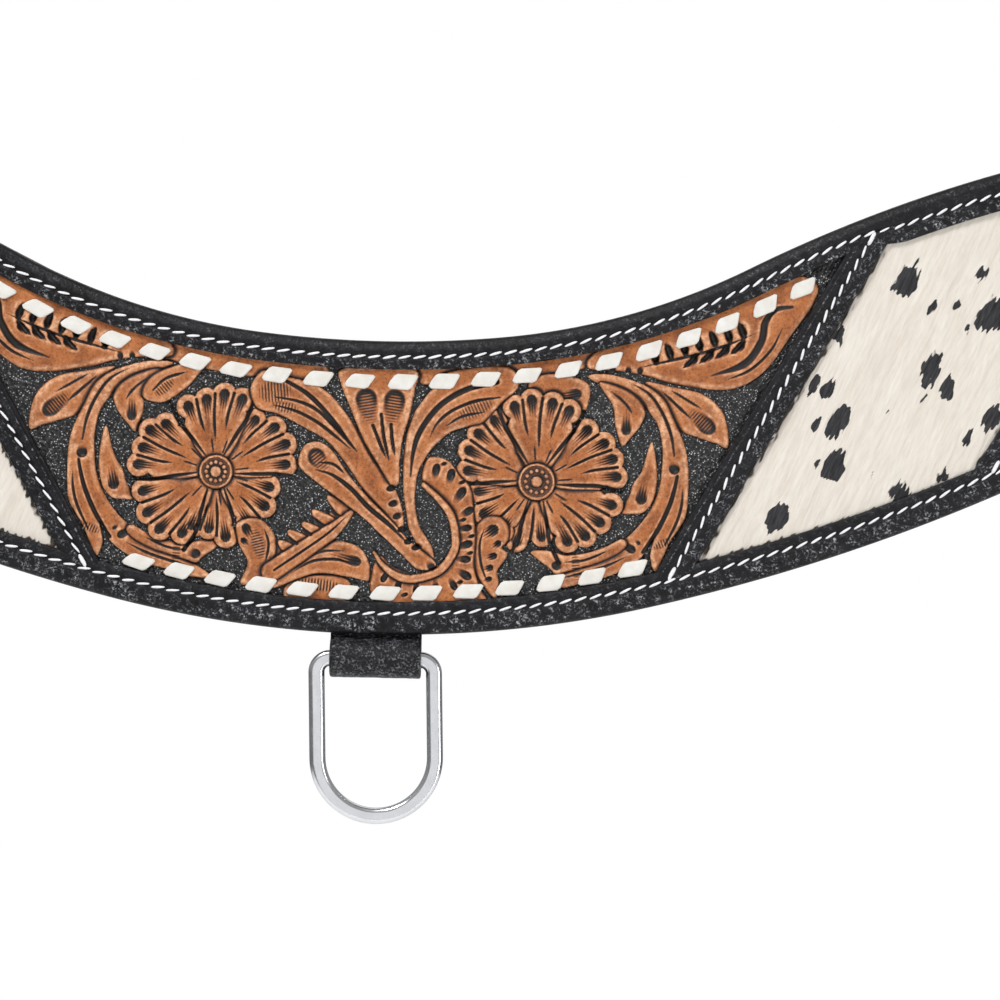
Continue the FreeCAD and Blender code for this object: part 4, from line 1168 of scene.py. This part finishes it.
def border_profile(seam, width):
    """Inset and depth of each line of the border's section, from the back round the front to the back."""
    level = 0 * width
    profile = [(level, LINING_FRONT - 0.05), (level, -3.4), (level, -4.8)]
    roll = np.radians(np.linspace(0, 90, 9))
    profile += [(EDGE_ROLL * (1 - np.cos(a)) + level, -5.8 - 3.6 * np.sin(a) ** 0.6) for a in roll]
    valley = (-VALLEY_HALF, -0.9, -0.6, -0.3, 0.0, 0.3, 0.6, 0.9, VALLEY_HALF)
    profile += [(seam + v, BORDER_FRONT) for v in valley]
    room = width - 0.7 - (seam + VALLEY_HALF)
    profile += [(seam + VALLEY_HALF + room * f, BORDER_FRONT) for f in (0.33, 0.66, 1.0)]
    lip = ((0.35, 0.12), (0.08, 0.42), (0.0, 0.9))
    profile += [(width - back, BORDER_FRONT + down) for back, down in lip]
    profile += [(width - 0.1, PANEL_FRONT + 0.2), (width - 2.0, PANEL_FRONT + 0.3), (1.2 + level, -5.0),
                (1.0 + level, LINING_FRONT - 0.05), (level, LINING_FRONT - 0.05)]
    return profile


def make_border():
    """Black border: rolled outer edge, stitched valley and a rounded inner lip, swept round the outline."""
    stations = rim_stations(settings().border_step / MM)
    shares = stations[:, 4:7]
    seam, width = seam_and_width(stations)
    holes = needle_phase(stations)
    profile = border_profile(seam, width)
    near_tip = np.abs(stations[:, 0]) > TIP_X - TIP_CORNER - 0.01
    columns, painted_glints = [], []
    for number, (inset, y) in enumerate(profile):
        x, z = rim_point(stations, inset)
        portion = inset / width
        x = np.clip(x, -TIP_X + portion * BORDER_WIDTH[2], TIP_X - portion * BORDER_WIDTH[2])
        low = BOTTOM_EDGE.tip_z + portion * BORDER_WIDTH[1]
        high = TOP_EDGE.tip_z - portion * BORDER_WIDTH[0]
        z = np.where(near_tip, np.clip(z, low, high), z)
        front = np.full_like(x, y)
        glint_share = np.zeros_like(x)
        if 3 <= number < len(profile) - 4:
            push, glint_share = border_relief(x, z, holes, inset, seam, width, shares)
            front += push
        columns.append(np.stack([x, front, z], -1))
        painted_glints.append(glint_share)
    points, painted_glints = np.stack(columns, axis=1), np.stack(painted_glints, axis=1)
    points = np.concatenate([points, points[:1]], axis=0)
    # point field of painted highlights (glints and a bright line) for the black leather's colour
    bm = grid_bmesh(points, {"painted_glints": np.concatenate([painted_glints, painted_glints[:1]], axis=0)})
    weld(bm)
    finish_piece(bm, "border_leather", "collar", "black_leather", ["border"])


def seam_relief(off, phase, pitch):
    """A stitched valley: deep at its needle holes, with the leather puffed out beside each stitch."""
    hole = np.exp(-((phase - np.round(phase)) * pitch / 0.55) ** 2)
    valley = (0.34 + 0.40 * hole) * np.exp(-(off / (0.55 + 0.12 * hole)) ** 2)
    puffs = 0.30 * np.exp(-((np.abs(off) - 1.35) / 0.7) ** 2) * (1 - 1.7 * hole)
    return valley - puffs


def border_relief(x, z, phase, inset, seam, width, shares):
    """How far the leather is pushed back over the border's front, and how rubbed it is."""
    off = inset - seam
    pitch = settings().stitch_pitch / MM
    crease = 0.20 * np.exp(-((inset - 1.55) / 0.25) ** 2)
    top, bottom, tip = shares.T
    slack = np.where(off < 0, bottom * 1.0 + top * 0.12 + tip * 0.5, top * 1.0 + bottom * 0.22 + tip * 0.5)
    zone = np.clip((np.abs(off) - 0.7) * 1.5, 0, 1) * np.clip(inset / 2.0, 0, 1) * slack
    folds = crinkle(x, z, 31)
    lip = 0.22 * smooth_step((inset - seam - 1.0) / (width - seam))
    crown = -0.20 * np.sin(np.clip((inset - 1.7) / (seam - 2.4), 0, 1) * math.pi)
    push = seam_relief(off, phase, pitch) + crease - zone * 0.17 * folds + lip + crown
    push += 0.07 * soft_noise(x, z, 1.3, 35) * (1 - zone) + 0.10 * soft_noise(x, z, 6.0, 33)
    # painted highlight: a thin bright line along the crease near the outer edge
    line = 0.85 * np.exp(-((inset - 1.9) / 0.22) ** 2) * (top + 0.3 * bottom)
    beat = 0.35 + 0.65 * (0.5 - 0.5 * np.cos(2 * math.pi * phase)) ** 2
    beat = np.where(np.abs(off) < 3.2, beat, 0.8)
    # painted highlights on the fold crests, strongest on the puffs between the needle holes
    bright = zone * np.clip(folds, 0, 1) * 1.4 * beat
    return push, np.clip(bright + line * (0.75 + 0.3 * soft_noise(x, z, 9, 36)), 0, 1)


def divider_end(edge, divider, sign, past, shift=0.0):
    """Point where a divider's line, moved outward by shift, runs into an edge's seam, plus past inward."""
    inset = SEAM_INSET[0 if edge is TOP_EDGE else 1] + past
    return edge.inset(sign * crossing(edge, inset, divider, shift), inset)


def divider_seam(divider, sign):
    """Foot and head of a divider's seam."""
    return [divider_end(edge, divider, sign, 0.4) for edge in (BOTTOM_EDGE, TOP_EDGE)]


def divider_strip(divider, sign, step):
    """One stitched strip; its section runs across it from the middle of the band outward."""
    sides = (-DIVIDER_TO_TOOLED, DIVIDER_TO_HIDE)
    inner, outer = sides if divider == 0 else (-sides[1], -sides[0])
    offsets = [inner + d for d in (0.0, 0.0, 0.1, 0.4, 0.9, 1.3, 1.55, 1.8)]
    offsets += list(np.linspace(inner + 2.2, -VALLEY_HALF, 3)) + [-0.9, -0.6, -0.3, 0, 0.3, 0.6, 0.9]
    offsets += list(np.linspace(VALLEY_HALF, outer - 1.5, 5))
    offsets += [outer - d for d in (0.9, 0.4, 0.1, 0.0, 0.0)]
    backs = [1.7, 0.9, 0.42, 0.12, 0.0, 0.03, 0.20, 0.03] + [0.0] * 15 + [0.0, 0.12, 0.42, 0.9, 1.7]
    low, high = divider_seam(divider, sign)
    length = np.linalg.norm(high - low)
    pitch = length / round(length / DIVIDER_PITCH)
    share = np.linspace(0, 1, int(length / step) + 1)
    rows, painted_glints = [], []
    for offset, back in zip(offsets, backs):
        start = divider_end(BOTTOM_EDGE, divider, sign, 0.3, offset)
        end = divider_end(TOP_EDGE, divider, sign, 0.3, offset)
        x, z = (start + (end - start) * share[:, None]).T
        run = share * np.linalg.norm(end - start)
        hide_side = offset > 0 if divider == 0 else offset < 0
        zone = np.clip((abs(offset) - 0.7) * 1.5, 0, 1) * (1.0 if hide_side else 0.12)
        folds = crinkle(x, z, 34)
        sink = 0.35 * np.exp(-(run / 0.5) ** 2) + 0.35 * np.exp(-((run[-1] - run) / 0.5) ** 2)
        front = BORDER_FRONT - 0.07 + back + seam_relief(offset, run / pitch, pitch) + sink
        front += 0.07 * soft_noise(x, z, 1.3, 35) - 0.15 * zone * folds
        rows.append(np.stack([x, front, z], -1))
        # painted highlights: glints on the fold crests on the hide side, and a bright line along the crease
        # near the tooled edge
        crease = 0.6 * math.exp(-((offset - inner - 1.85) / 0.2) ** 2)
        painted_glints.append(np.clip(zone * folds * 0.75 + crease, 0, 1))
    strip = grid_bmesh(np.stack(rows, axis=1), {"painted_glints": np.stack(painted_glints, axis=1)})
    close_behind(strip, PANEL_FRONT + 0.4)
    return as_mesh(strip, "strip")


def make_dividers():
    """Stitched black strips between the windows; their ends run out in the border's seam valley."""
    bm = bmesh.new()
    for divider in (0, 1):
        for sign in (-1, 1):
            mesh = divider_strip(divider, sign, settings().border_step / MM)
            bm.from_mesh(mesh)
            bpy.data.meshes.remove(mesh)
    finish_piece(bm, "divider_leather", "collar", "black_leather")


# ---- stitches and lacing ----

def stitch_template():
    """A short capped thread one unit long, wide and high, pointing along x and swelling to -y."""
    bm = bmesh.new()
    bmesh.ops.create_uvsphere(bm, u_segments=8, v_segments=6, radius=0.5)
    bmesh.ops.rotate(bm, verts=bm.verts[:], cent=(0, 0, 0), matrix=Matrix.Rotation(math.pi / 2, 3, "Y"))
    for vert in bm.verts:
        reach = abs(vert.co.x) * 2
        vert.co.x = math.copysign(0.5 * reach ** 0.62, vert.co.x)
        vert.co.y += 0.45 * reach ** 3
    return as_mesh(bm, "stitch")


def placed(x, y, z, degrees, size):
    """Matrix that scales by size (in millimetres), turns in the picture plane and moves to a point."""
    turn = Euler((0, -math.radians(degrees), 0)).to_matrix().to_4x4()
    scale = Matrix.Diagonal((*[v * MM for v in size], 1))
    return Matrix.Translation((x * MM, y * MM, z * MM)) @ turn @ scale


def along_line(points, pitch):
    """Evenly spaced places on a polyline, as x, z and direction in degrees; the pitch is fitted to it."""
    points = np.asarray(points)
    run = run_along(points)
    count = max(1, round(run[-1] / pitch))
    pitch = run[-1] / count
    found = []
    for number in range(count):
        middle = (number + 0.5) * pitch
        before, centre, after = (point_at(points, run, middle + d) for d in (-0.8, 0.0, 0.8))
        step = after - before
        found.append((centre[0], centre[1], math.degrees(math.atan2(step[1], step[0]))))
    return found


def read_upright(direction):
    """The same direction along a line, turned so that it lies between -90 and 90 degrees."""
    return direction if -90 < direction <= 90 else direction - 180


def make_stitches():
    """White stitches on the border, the dividers and the back, each a thread of its own."""
    sizes = settings()
    template = stitch_template()
    random = np.random.default_rng(5)
    long, thick = sizes.stitch_length / MM, sizes.thread_width / MM
    slant = math.degrees(sizes.stitch_slant)

    def stitched(places, y, flip=1):
        made = []
        for x, z, direction in places:
            size = (long * random.uniform(0.95, 1.05), THREAD_FLAT * thick,
                    thick * random.uniform(0.92, 1.08))
            turn = read_upright(direction) + flip * (slant + random.uniform(-2, 2))
            made.append(placed(x, y, z, turn, size))
        return made

    def sewn(matrices, name, node):
        finish_piece(scatter(template, matrices), name, "collar", "thread", [node])

    rim = along_line(seam_line(rim_stations(sizes.border_step / MM)), sizes.stitch_pitch / MM)
    sewn(stitched(rim, BORDER_FRONT + 0.08), "border_stitches", "border_seam_thread")
    back = [Matrix.Rotation(math.pi, 4, "Z") @ m for m in stitched(rim, -0.02, -1)]
    sewn(back, "lining_stitches", "lining_seam_thread")
    inner = []
    for divider in (0, 1):
        for sign in (-1, 1):
            line = along_line(divider_seam(divider, sign), DIVIDER_PITCH)
            strip = [stitched([place], BORDER_FRONT + 0.02)[0] for place in line]
            for end in (0, -1):
                x, z, direction = line[end]
                size = (long * 1.15, 1.1, thick * 1.75)
                strip[end] = placed(x, BORDER_FRONT - 0.05, z, read_upright(direction) + 2, size)
            inner += strip
    sewn(inner, "divider_stitches", "divider_seam_threads")


def lace_template():
    """One visible length of lacing: a puffed slanted diamond, pointed at both ends."""
    outline = ((-5.0, -1.3), (-4.2, -2.15), (1.7, -2.5), (2.8, -1.9), (4.4, 0.6), (5.0, 1.7),
               (4.3, 2.25), (-1.7, 2.45), (-2.8, 1.9), (-4.2, 0.2))
    bm = bmesh.new()
    verts = [bm.verts.new((x, 0, z)) for x, z in outline]
    face = bm.faces.new(verts)
    top = bmesh.ops.extrude_face_region(bm, geom=[face])["geom"]
    raised = [v for v in top if isinstance(v, bmesh.types.BMVert)]
    bmesh.ops.translate(bm, verts=raised, vec=(0, -0.95, 0))
    rim = [e for e in bm.edges if all(v in raised for v in e.verts)]
    round_over(bm, rim, 0.42)
    front = min(bm.faces, key=lambda f: f.calc_center_median().y)
    bmesh.ops.poke(bm, faces=[front], offset=0.12)
    bmesh.ops.recalc_face_normals(bm, faces=bm.faces[:])
    return as_mesh(bm, "lace")


def lace_row(edge, inset, start, end, at):
    """Lace places along an inset edge between two arc lengths; the first is a distance past the start."""
    s = np.linspace(start, end, 400)
    points = edge.inset(s, inset)
    run = run_along(points)
    slopes = edge.at(s)[2]
    places = []
    while at < run[-1]:
        places.append((*point_at(points, run, at), math.degrees(np.interp(at, run, slopes))))
        at += LACE_PITCH
    return places


def make_lacing():
    """White lacing round the tooled panels, one puffed diamond per turn."""
    template = lace_template()
    random = np.random.default_rng(8)
    lace_room = DIVIDER_TO_TOOLED + 5.2

    def piece(name, places, node):
        matrices = []
        for x, z, slope in places:
            size = (random.uniform(0.96, 1.04), 1.0, random.uniform(0.95, 1.05))
            matrices.append(placed(x, PANEL_FRONT + 0.45, z, slope + random.uniform(-2.5, 2.5), size))
        finish_piece(scatter(template, matrices), name, "collar", "lace", [node])

    middle = []
    rows = ((TOP_EDGE, LACE_INSET[0], 6.9, 6.9), (BOTTOM_EDGE, LACE_INSET[1], 2.7, LACE_PITCH - 2.7))
    for edge, inset, first_right, first_left in rows:
        end = crossing(edge, inset, 0, -lace_room)
        middle += lace_row(edge, inset, 0, end, first_right)
        middle += [(-x, z, -slope) for x, z, slope in lace_row(edge, inset, 0, end, first_left)]
    piece("centre_lace", middle, "centre_lacing")
    tip = []
    for edge, inset, _, _ in rows:
        first = crossing(edge, inset, 1, lace_room)
        last = crossing(edge, inset, None, BORDER_WIDTH[2] + 6)
        tip += lace_row(edge, inset, first, last, 1.0)
    for side, sign in (("left", -1), ("right", 1)):
        places = [(sign * x, z, sign * slope) for x, z, slope in tip]
        piece(side + "_tip_lace", places, side + "_tip_lacing")


# ---- folded loops that hold the rings ----

def loop_outline():
    """Side outline of a folded loop about its ring's bar as (y, z), from its front ply to its back one."""
    z = LOOP_DROP - 0.4
    ends, angles = [], []
    for turn, y in ((1, CORE_FRONT + LOOP_RADIUS), (-1, LINING_FRONT + LOOP_RADIUS)):
        ends.append(np.array([y, z]))
        angles.append(math.atan2(z, y) + turn * math.acos(LOOP_RADIUS / math.hypot(y, z)))
    if angles[1] < angles[0]:
        angles[1] += 2 * math.pi
    turns = np.linspace(*angles, 40)
    arc = LOOP_RADIUS * np.stack([np.cos(turns), np.sin(turns)], -1)
    shares = np.array([[0.2], [0.4], [0.6], [0.8]])
    tucks = [ends[0] + (0, LOOP_TUCK), ends[0] + (0, LOOP_TUCK / 2), ends[0]]
    front = ends[0] + (arc[0] - ends[0]) * shares
    back = arc[-1] + (ends[1] - arc[-1]) * shares
    tails = [ends[1], ends[1] + (0, LOOP_TUCK / 2), ends[1] + (0, LOOP_TUCK)]
    return np.concatenate([tucks, front, arc, back, tails])


def loop_bmesh(seed):
    """A loop round the X axis, hanging to -z: rounded edges, a hole for the bar and a grainy outside."""
    outer = loop_outline()
    out = outer / np.linalg.norm(outer, axis=1, keepdims=True)
    hole = out * LOOP_HOLE
    half = LOOP_WIDE / 2
    stations = [(-half, 0, 1.0), (-half, 0.5, 0.5), (-half, 1, 0.7), (-half + 0.2, 1, 0.22),
                (-half + 0.7, 1, 0.0)]
    stations += [(x, 1, 0.0) for x in np.linspace(-half + 1.5, half - 1.5, 26)]
    stations += [(-x, share, back) for x, share, back in stations[:5][::-1]]
    stations += [(x, 0, 0.0) for x in np.linspace(half, -half, 6)[1:]]
    columns = []
    run = run_along(outer)
    for x, share, back in stations:
        reach = hole + (outer - hole) * share - (out * back if share == 1 else 0)
        if share == 1:
            beside = np.full_like(run, x)
            grain = 0.05 * soft_noise(run, beside, 1.1, seed) + 0.10 * soft_noise(run, beside, 5, seed)
            reach = reach + out * grain[:, None]
        columns.append(np.stack([np.full(len(run), x), reach[:, 0], reach[:, 1]], -1))
    points = np.stack(columns, axis=1)
    bm = grid_bmesh(np.concatenate([points, points[:1]], axis=0))
    weld(bm)
    return bm


def make_loops():
    """The tie-down loop and the two end loops."""
    tip_z = (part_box("right_end_loop")[0][2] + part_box("right_end_loop")[1][2]) / 2
    bottom = BOTTOM_EDGE.middle_z * MM
    sites = (("tie_down", 0, (0, 0, bottom)), ("left_end", 90, (-TIP_X * MM, 0, tip_z)),
             ("right_end", -90, (TIP_X * MM, 0, tip_z)))
    for number, (site, degrees, place) in enumerate(sites):
        bm = loop_bmesh(41 + number)
        bmesh.ops.translate(bm, verts=bm.verts[:], vec=(0, -LOOP_RADIUS * MM, -LOOP_DROP * MM))
        turn = Matrix.Rotation(math.radians(degrees), 3, "Y")
        bmesh.ops.rotate(bm, verts=bm.verts[:], cent=(0, 0, 0), matrix=turn)
        bmesh.ops.translate(bm, verts=bm.verts[:], vec=place)
        finish_piece(bm, site + "_loop_leather", "collar", "loop_leather", [site + "_loop"])


# ---- leather cut from the frame's own shapes ----

def softened(node, name, body, slot, edge):
    """A copy of a frame node with its corners rounded over."""
    bm = bmesh.new()
    bm.from_mesh(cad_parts[node].data)
    bmesh.ops.remove_doubles(bm, verts=bm.verts[:], dist=1e-5)
    bmesh.ops.dissolve_limit(bm, angle_limit=math.radians(0.5), verts=bm.verts[:], edges=bm.edges[:])
    sharp = [e for e in bm.edges if len(e.link_faces) == 2 and e.calc_face_angle() > math.radians(38)]
    round_over(bm, sharp, edge * MM, True)
    piece = finish_piece(bm, name, body, slot, [node])
    piece.data.set_sharp_from_angle(angle=math.radians(35))


def make_lining():
    """Soft lining behind, with the core and filler between the layers."""
    softened("lining", "lining_sheet", "collar", "lining_leather", 0.5)
    for node in ("core", "edge_filler"):
        dress(node, "core_leather")


def dress(node, slot):
    """Give a frame node its own finish."""
    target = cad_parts[node]
    for place in target.material_slots:
        place.material = FINISHES[slot]


def make_tugs():
    """Hanging straps with rounded edges, their keepers and rows of stitches."""
    template = stitch_template()
    sizes = settings()
    for side in ("left", "right"):
        strap, tug = side + "_tug_strap", side + "_tug"
        softened(strap, side + "_tug_leather", tug, "tug_leather", 0.45)
        softened(side + "_tug_keeper", side + "_keeper_leather", side + "_keeper", "tug_leather", 0.5)
        low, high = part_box(strap)
        middle, half = (low[0] + high[0]) / 2 / MM, (high[0] - low[0]) / 2 / MM - 2.6
        top = high[2] / MM - 24.0
        stop = high[2] / MM - 84.0
        front, back = RING_Y - TUG_LEATHER + 0.05, RING_Y + TUG_LEATHER - 0.05
        long = sizes.stitch_length / MM
        matrices = []
        for sign in (-1, 1):
            line = [(middle + sign * half, stop), (middle + sign * half, top)]
            for x, z, direction in along_line(line, sizes.stitch_pitch / MM):
                matrices.append(placed(x, front, z, direction - 6, (long, 0.6, 0.9)))
                matrices.append(placed(x, back, z, direction + 6, (long, -0.6, 0.9)))
        finish_piece(scatter(template, matrices), side + "_tug_stitches", tug, "thread")


def make_metal():
    """Rings, buckles, rollers, tongues and screws keep their shapes and get plated finishes."""
    for site in ("tie_down", "left_end", "right_end"):
        dress(site + "_ring", "ring_metal")
    for side in ("left", "right"):
        for part in ("tug_screws", "buckle_frame", "buckle_roller", "buckle_tongue"):
            dress(side + "_" + part, "hardware")


# ---- camera, floor and lights ----

def add_camera():
    sizes = settings()
    data = bpy.data.cameras.new("camera")
    data.lens = 120.0
    data.sensor_width = 36.0
    camera = add_object("camera", data)
    place = Matrix.Translation(Vector(sizes.aim) + Vector((0, -sizes.distance, 0)))
    roll = Matrix.Rotation(-sizes.roll, 4, "Y")
    camera.matrix_world = place @ roll @ Matrix.Rotation(math.pi / 2, 4, "X")
    bpy.context.scene.camera = camera


def add_area(name, place, size, power):
    data = bpy.data.lights.new(name, "AREA")
    data.shape = "RECTANGLE"
    data.size, data.size_y = size
    data.energy = power
    light = add_object(name, data)
    light.location = place
    light.rotation_euler = (Vector(LIGHT_TARGET) - Vector(place)).to_track_quat("-Z", "Y").to_euler()


def add_world():
    """White studio: the camera sees plain white, and reflections see a room darker at the sides."""
    world = bpy.data.worlds.new("studio")
    bpy.context.scene.world = world
    world.use_nodes = True
    tree = world.node_tree
    shown = tree.nodes["Background"]
    shown.inputs["Color"].default_value = (1, 1, 1, 1)
    shown.inputs["Strength"].default_value = 1.0
    coords = tree.nodes.new("ShaderNodeTexCoord")
    split = tree.nodes.new("ShaderNodeSeparateXYZ")
    tree.links.new(coords.outputs["Generated"], split.inputs["Vector"])
    ramp = tree.nodes.new("ShaderNodeValToRGB")
    added = [ramp.color_ramp.elements.new(0.5) for _ in range(2)]
    for element, (position, grey) in zip(added, ((0.35, 0.25), (0.6, 0.8))):
        element.position = position
        element.color = (grey, grey, grey, 1)
    ramp.color_ramp.elements[0].color = (0.75, 0.75, 0.75, 1)
    shift = tree.nodes.new("ShaderNodeMath")
    shift.operation = "MULTIPLY_ADD"
    shift.inputs[1].default_value = 0.5
    shift.inputs[2].default_value = 0.5
    tree.links.new(split.outputs["Z"], shift.inputs[0])
    tree.links.new(shift.outputs["Value"], ramp.inputs["Fac"])
    room = tree.nodes.new("ShaderNodeBackground")
    room.inputs["Strength"].default_value = ROOM_LIGHT
    tree.links.new(ramp.outputs["Color"], room.inputs["Color"])
    path = tree.nodes.new("ShaderNodeLightPath")
    blend = tree.nodes.new("ShaderNodeMixShader")
    tree.links.new(path.outputs["Is Camera Ray"], blend.inputs["Fac"])
    tree.links.new(room.outputs["Background"], blend.inputs[1])
    tree.links.new(shown.outputs["Background"], blend.inputs[2])
    tree.links.new(blend.outputs["Shader"], tree.nodes["World Output"].inputs["Surface"])


def add_floor():
    bm = bmesh.new()
    bmesh.ops.create_circle(bm, cap_ends=True, segments=96, radius=FLOOR_RADIUS)
    bmesh.ops.translate(bm, verts=bm.verts[:], vec=(0, 0, CAD_BOX[0][2] - settings().floor_gap))
    mesh = as_mesh(bm, "floor")
    floor = add_object("floor", mesh)
    made = Finish("pale_floor", Roughness=0.9, Specular_IOR_Level=0.1)
    made.shader.inputs["Base Color"].default_value = (0.93, 0.93, 0.93, 1)
    made.shader.inputs["Emission Color"].default_value = (1, 1, 1, 1)
    made.shader.inputs["Emission Strength"].default_value = FLOOR_GLOW
    mesh.materials.append(made.material)


def make_stage():
    """Camera, white studio, pale floor and soft lights."""
    add_camera()
    add_world()
    add_floor()
    for name, place, size, power in LIGHTS:
        add_area(name, place, size, power)
    bpy.context.scene.view_settings.view_transform = "Standard"


# ---- the add-on ----

class CollarSettings(bpy.types.PropertyGroup):
    stitch_pitch: FloatProperty(name="Stitch pitch", description="Length of seam that each stitch takes",
                                default=0.00486, min=0.002, unit="LENGTH")
    stitch_length: FloatProperty(name="Stitch length", description="Visible length of one stitch",
                                 default=0.0043, min=0.001, unit="LENGTH")
    thread_width: FloatProperty(name="Thread width", description="Width of the white thread",
                                default=0.00082, min=0.0003, unit="LENGTH")
    stitch_slant: FloatProperty(name="Stitch slant", description="Turn of each stitch from its seam",
                                default=math.radians(14), subtype="ANGLE")
    carving_step: FloatProperty(name="Carving step", description="Spacing of points on the middle panel",
                                default=0.00036, min=0.0002, unit="LENGTH")
    tip_carving_step: FloatProperty(name="Tip carving step", description="Spacing of points on the tips",
                                    default=0.0005, min=0.0002, unit="LENGTH")
    hide_step: FloatProperty(name="Hide step", description="Spacing of points on the hide",
                             default=0.0005, min=0.0002, unit="LENGTH")
    border_step: FloatProperty(name="Border step", description="Spacing of points along the border",
                               default=0.00085, min=0.0004, unit="LENGTH")
    aim: FloatVectorProperty(name="Aim", description="Point on the front that the camera faces",
                             default=(0.0388, -0.0085, -0.0028), subtype="TRANSLATION", unit="LENGTH")
    distance: FloatProperty(name="Camera distance", description="From the front of the band to the camera",
                            default=1.0667, min=0.2, unit="LENGTH")
    roll: FloatProperty(name="Camera roll", description="Turn of the camera about its view axis",
                        default=math.radians(1.25), subtype="ANGLE")
    floor_gap: FloatProperty(name="Floor gap", description="Room between the lowest point and the floor",
                             default=0.30, min=0.0, unit="LENGTH")


def operator(name, label, docstring, work):
    """An operator class that runs one making function."""
    def execute(self, context):
        work()
        return {"FINISHED"}

    idname = "collar." + name
    return type("COLLAR_OT_" + name, (bpy.types.Operator,),
                {"bl_idname": idname, "bl_label": label, "__doc__": docstring, "execute": execute})


OPERATORS = [
    operator("stage", "Stage", "Make the camera, floor and lights", make_stage),
    operator("finishes", "Finishes", "Make the leather, hide, thread and metal finishes", make_finishes),
    operator("tooled_panels", "Tooled panels", "Carve the three tan panels", make_tooled_panels),
    operator("hide_panels", "Hide panels", "Lay the spotted hide in its windows", make_hide_panels),
    operator("border", "Border", "Sweep the black border round the band", make_border),
    operator("dividers", "Dividers", "Make the black strips between the windows", make_dividers),
    operator("stitches", "Stitches", "Sew the white seams", make_stitches),
    operator("lacing", "Lacing", "Lace the edges of the tooled panels", make_lacing),
    operator("loops", "Loops", "Fold the leather loops round the rings", make_loops),
    operator("lining", "Lining", "Line the back and fill the core", make_lining),
    operator("tugs", "Tugs", "Make the hanging straps, keepers and their seams", make_tugs),
    operator("metal", "Metal", "Finish the rings, buckles and screws", make_metal),
]


class COLLAR_PT_panel(bpy.types.Panel):
    """Sizes of the collar and a button for each group of pieces"""
    bl_label = "Breast collar"
    bl_idname = "COLLAR_PT_panel"
    bl_space_type = "VIEW_3D"
    bl_region_type = "UI"
    bl_category = "Collar"

    def draw(self, context):
        for name in CollarSettings.__annotations__:
            self.layout.prop(context.scene.breast_collar, name)
        for made in OPERATORS:
            self.layout.operator(made.bl_idname)


CLASSES = [CollarSettings, *OPERATORS, COLLAR_PT_panel]


def register():
    for made in CLASSES:
        bpy.utils.register_class(made)
    bpy.types.Scene.breast_collar = PointerProperty(type=CollarSettings)


def unregister():
    del bpy.types.Scene.breast_collar
    for made in reversed(CLASSES):
        bpy.utils.unregister_class(made)


def main():
    """Build every group in order and note the CAD's and the model's boxes."""
    register()
    for made in OPERATORS:
        group, name = made.bl_idname.split(".")
        getattr(getattr(bpy.ops, group), name)()
    bpy.context.view_layer.update()


if __name__ == "__main__":
    main()
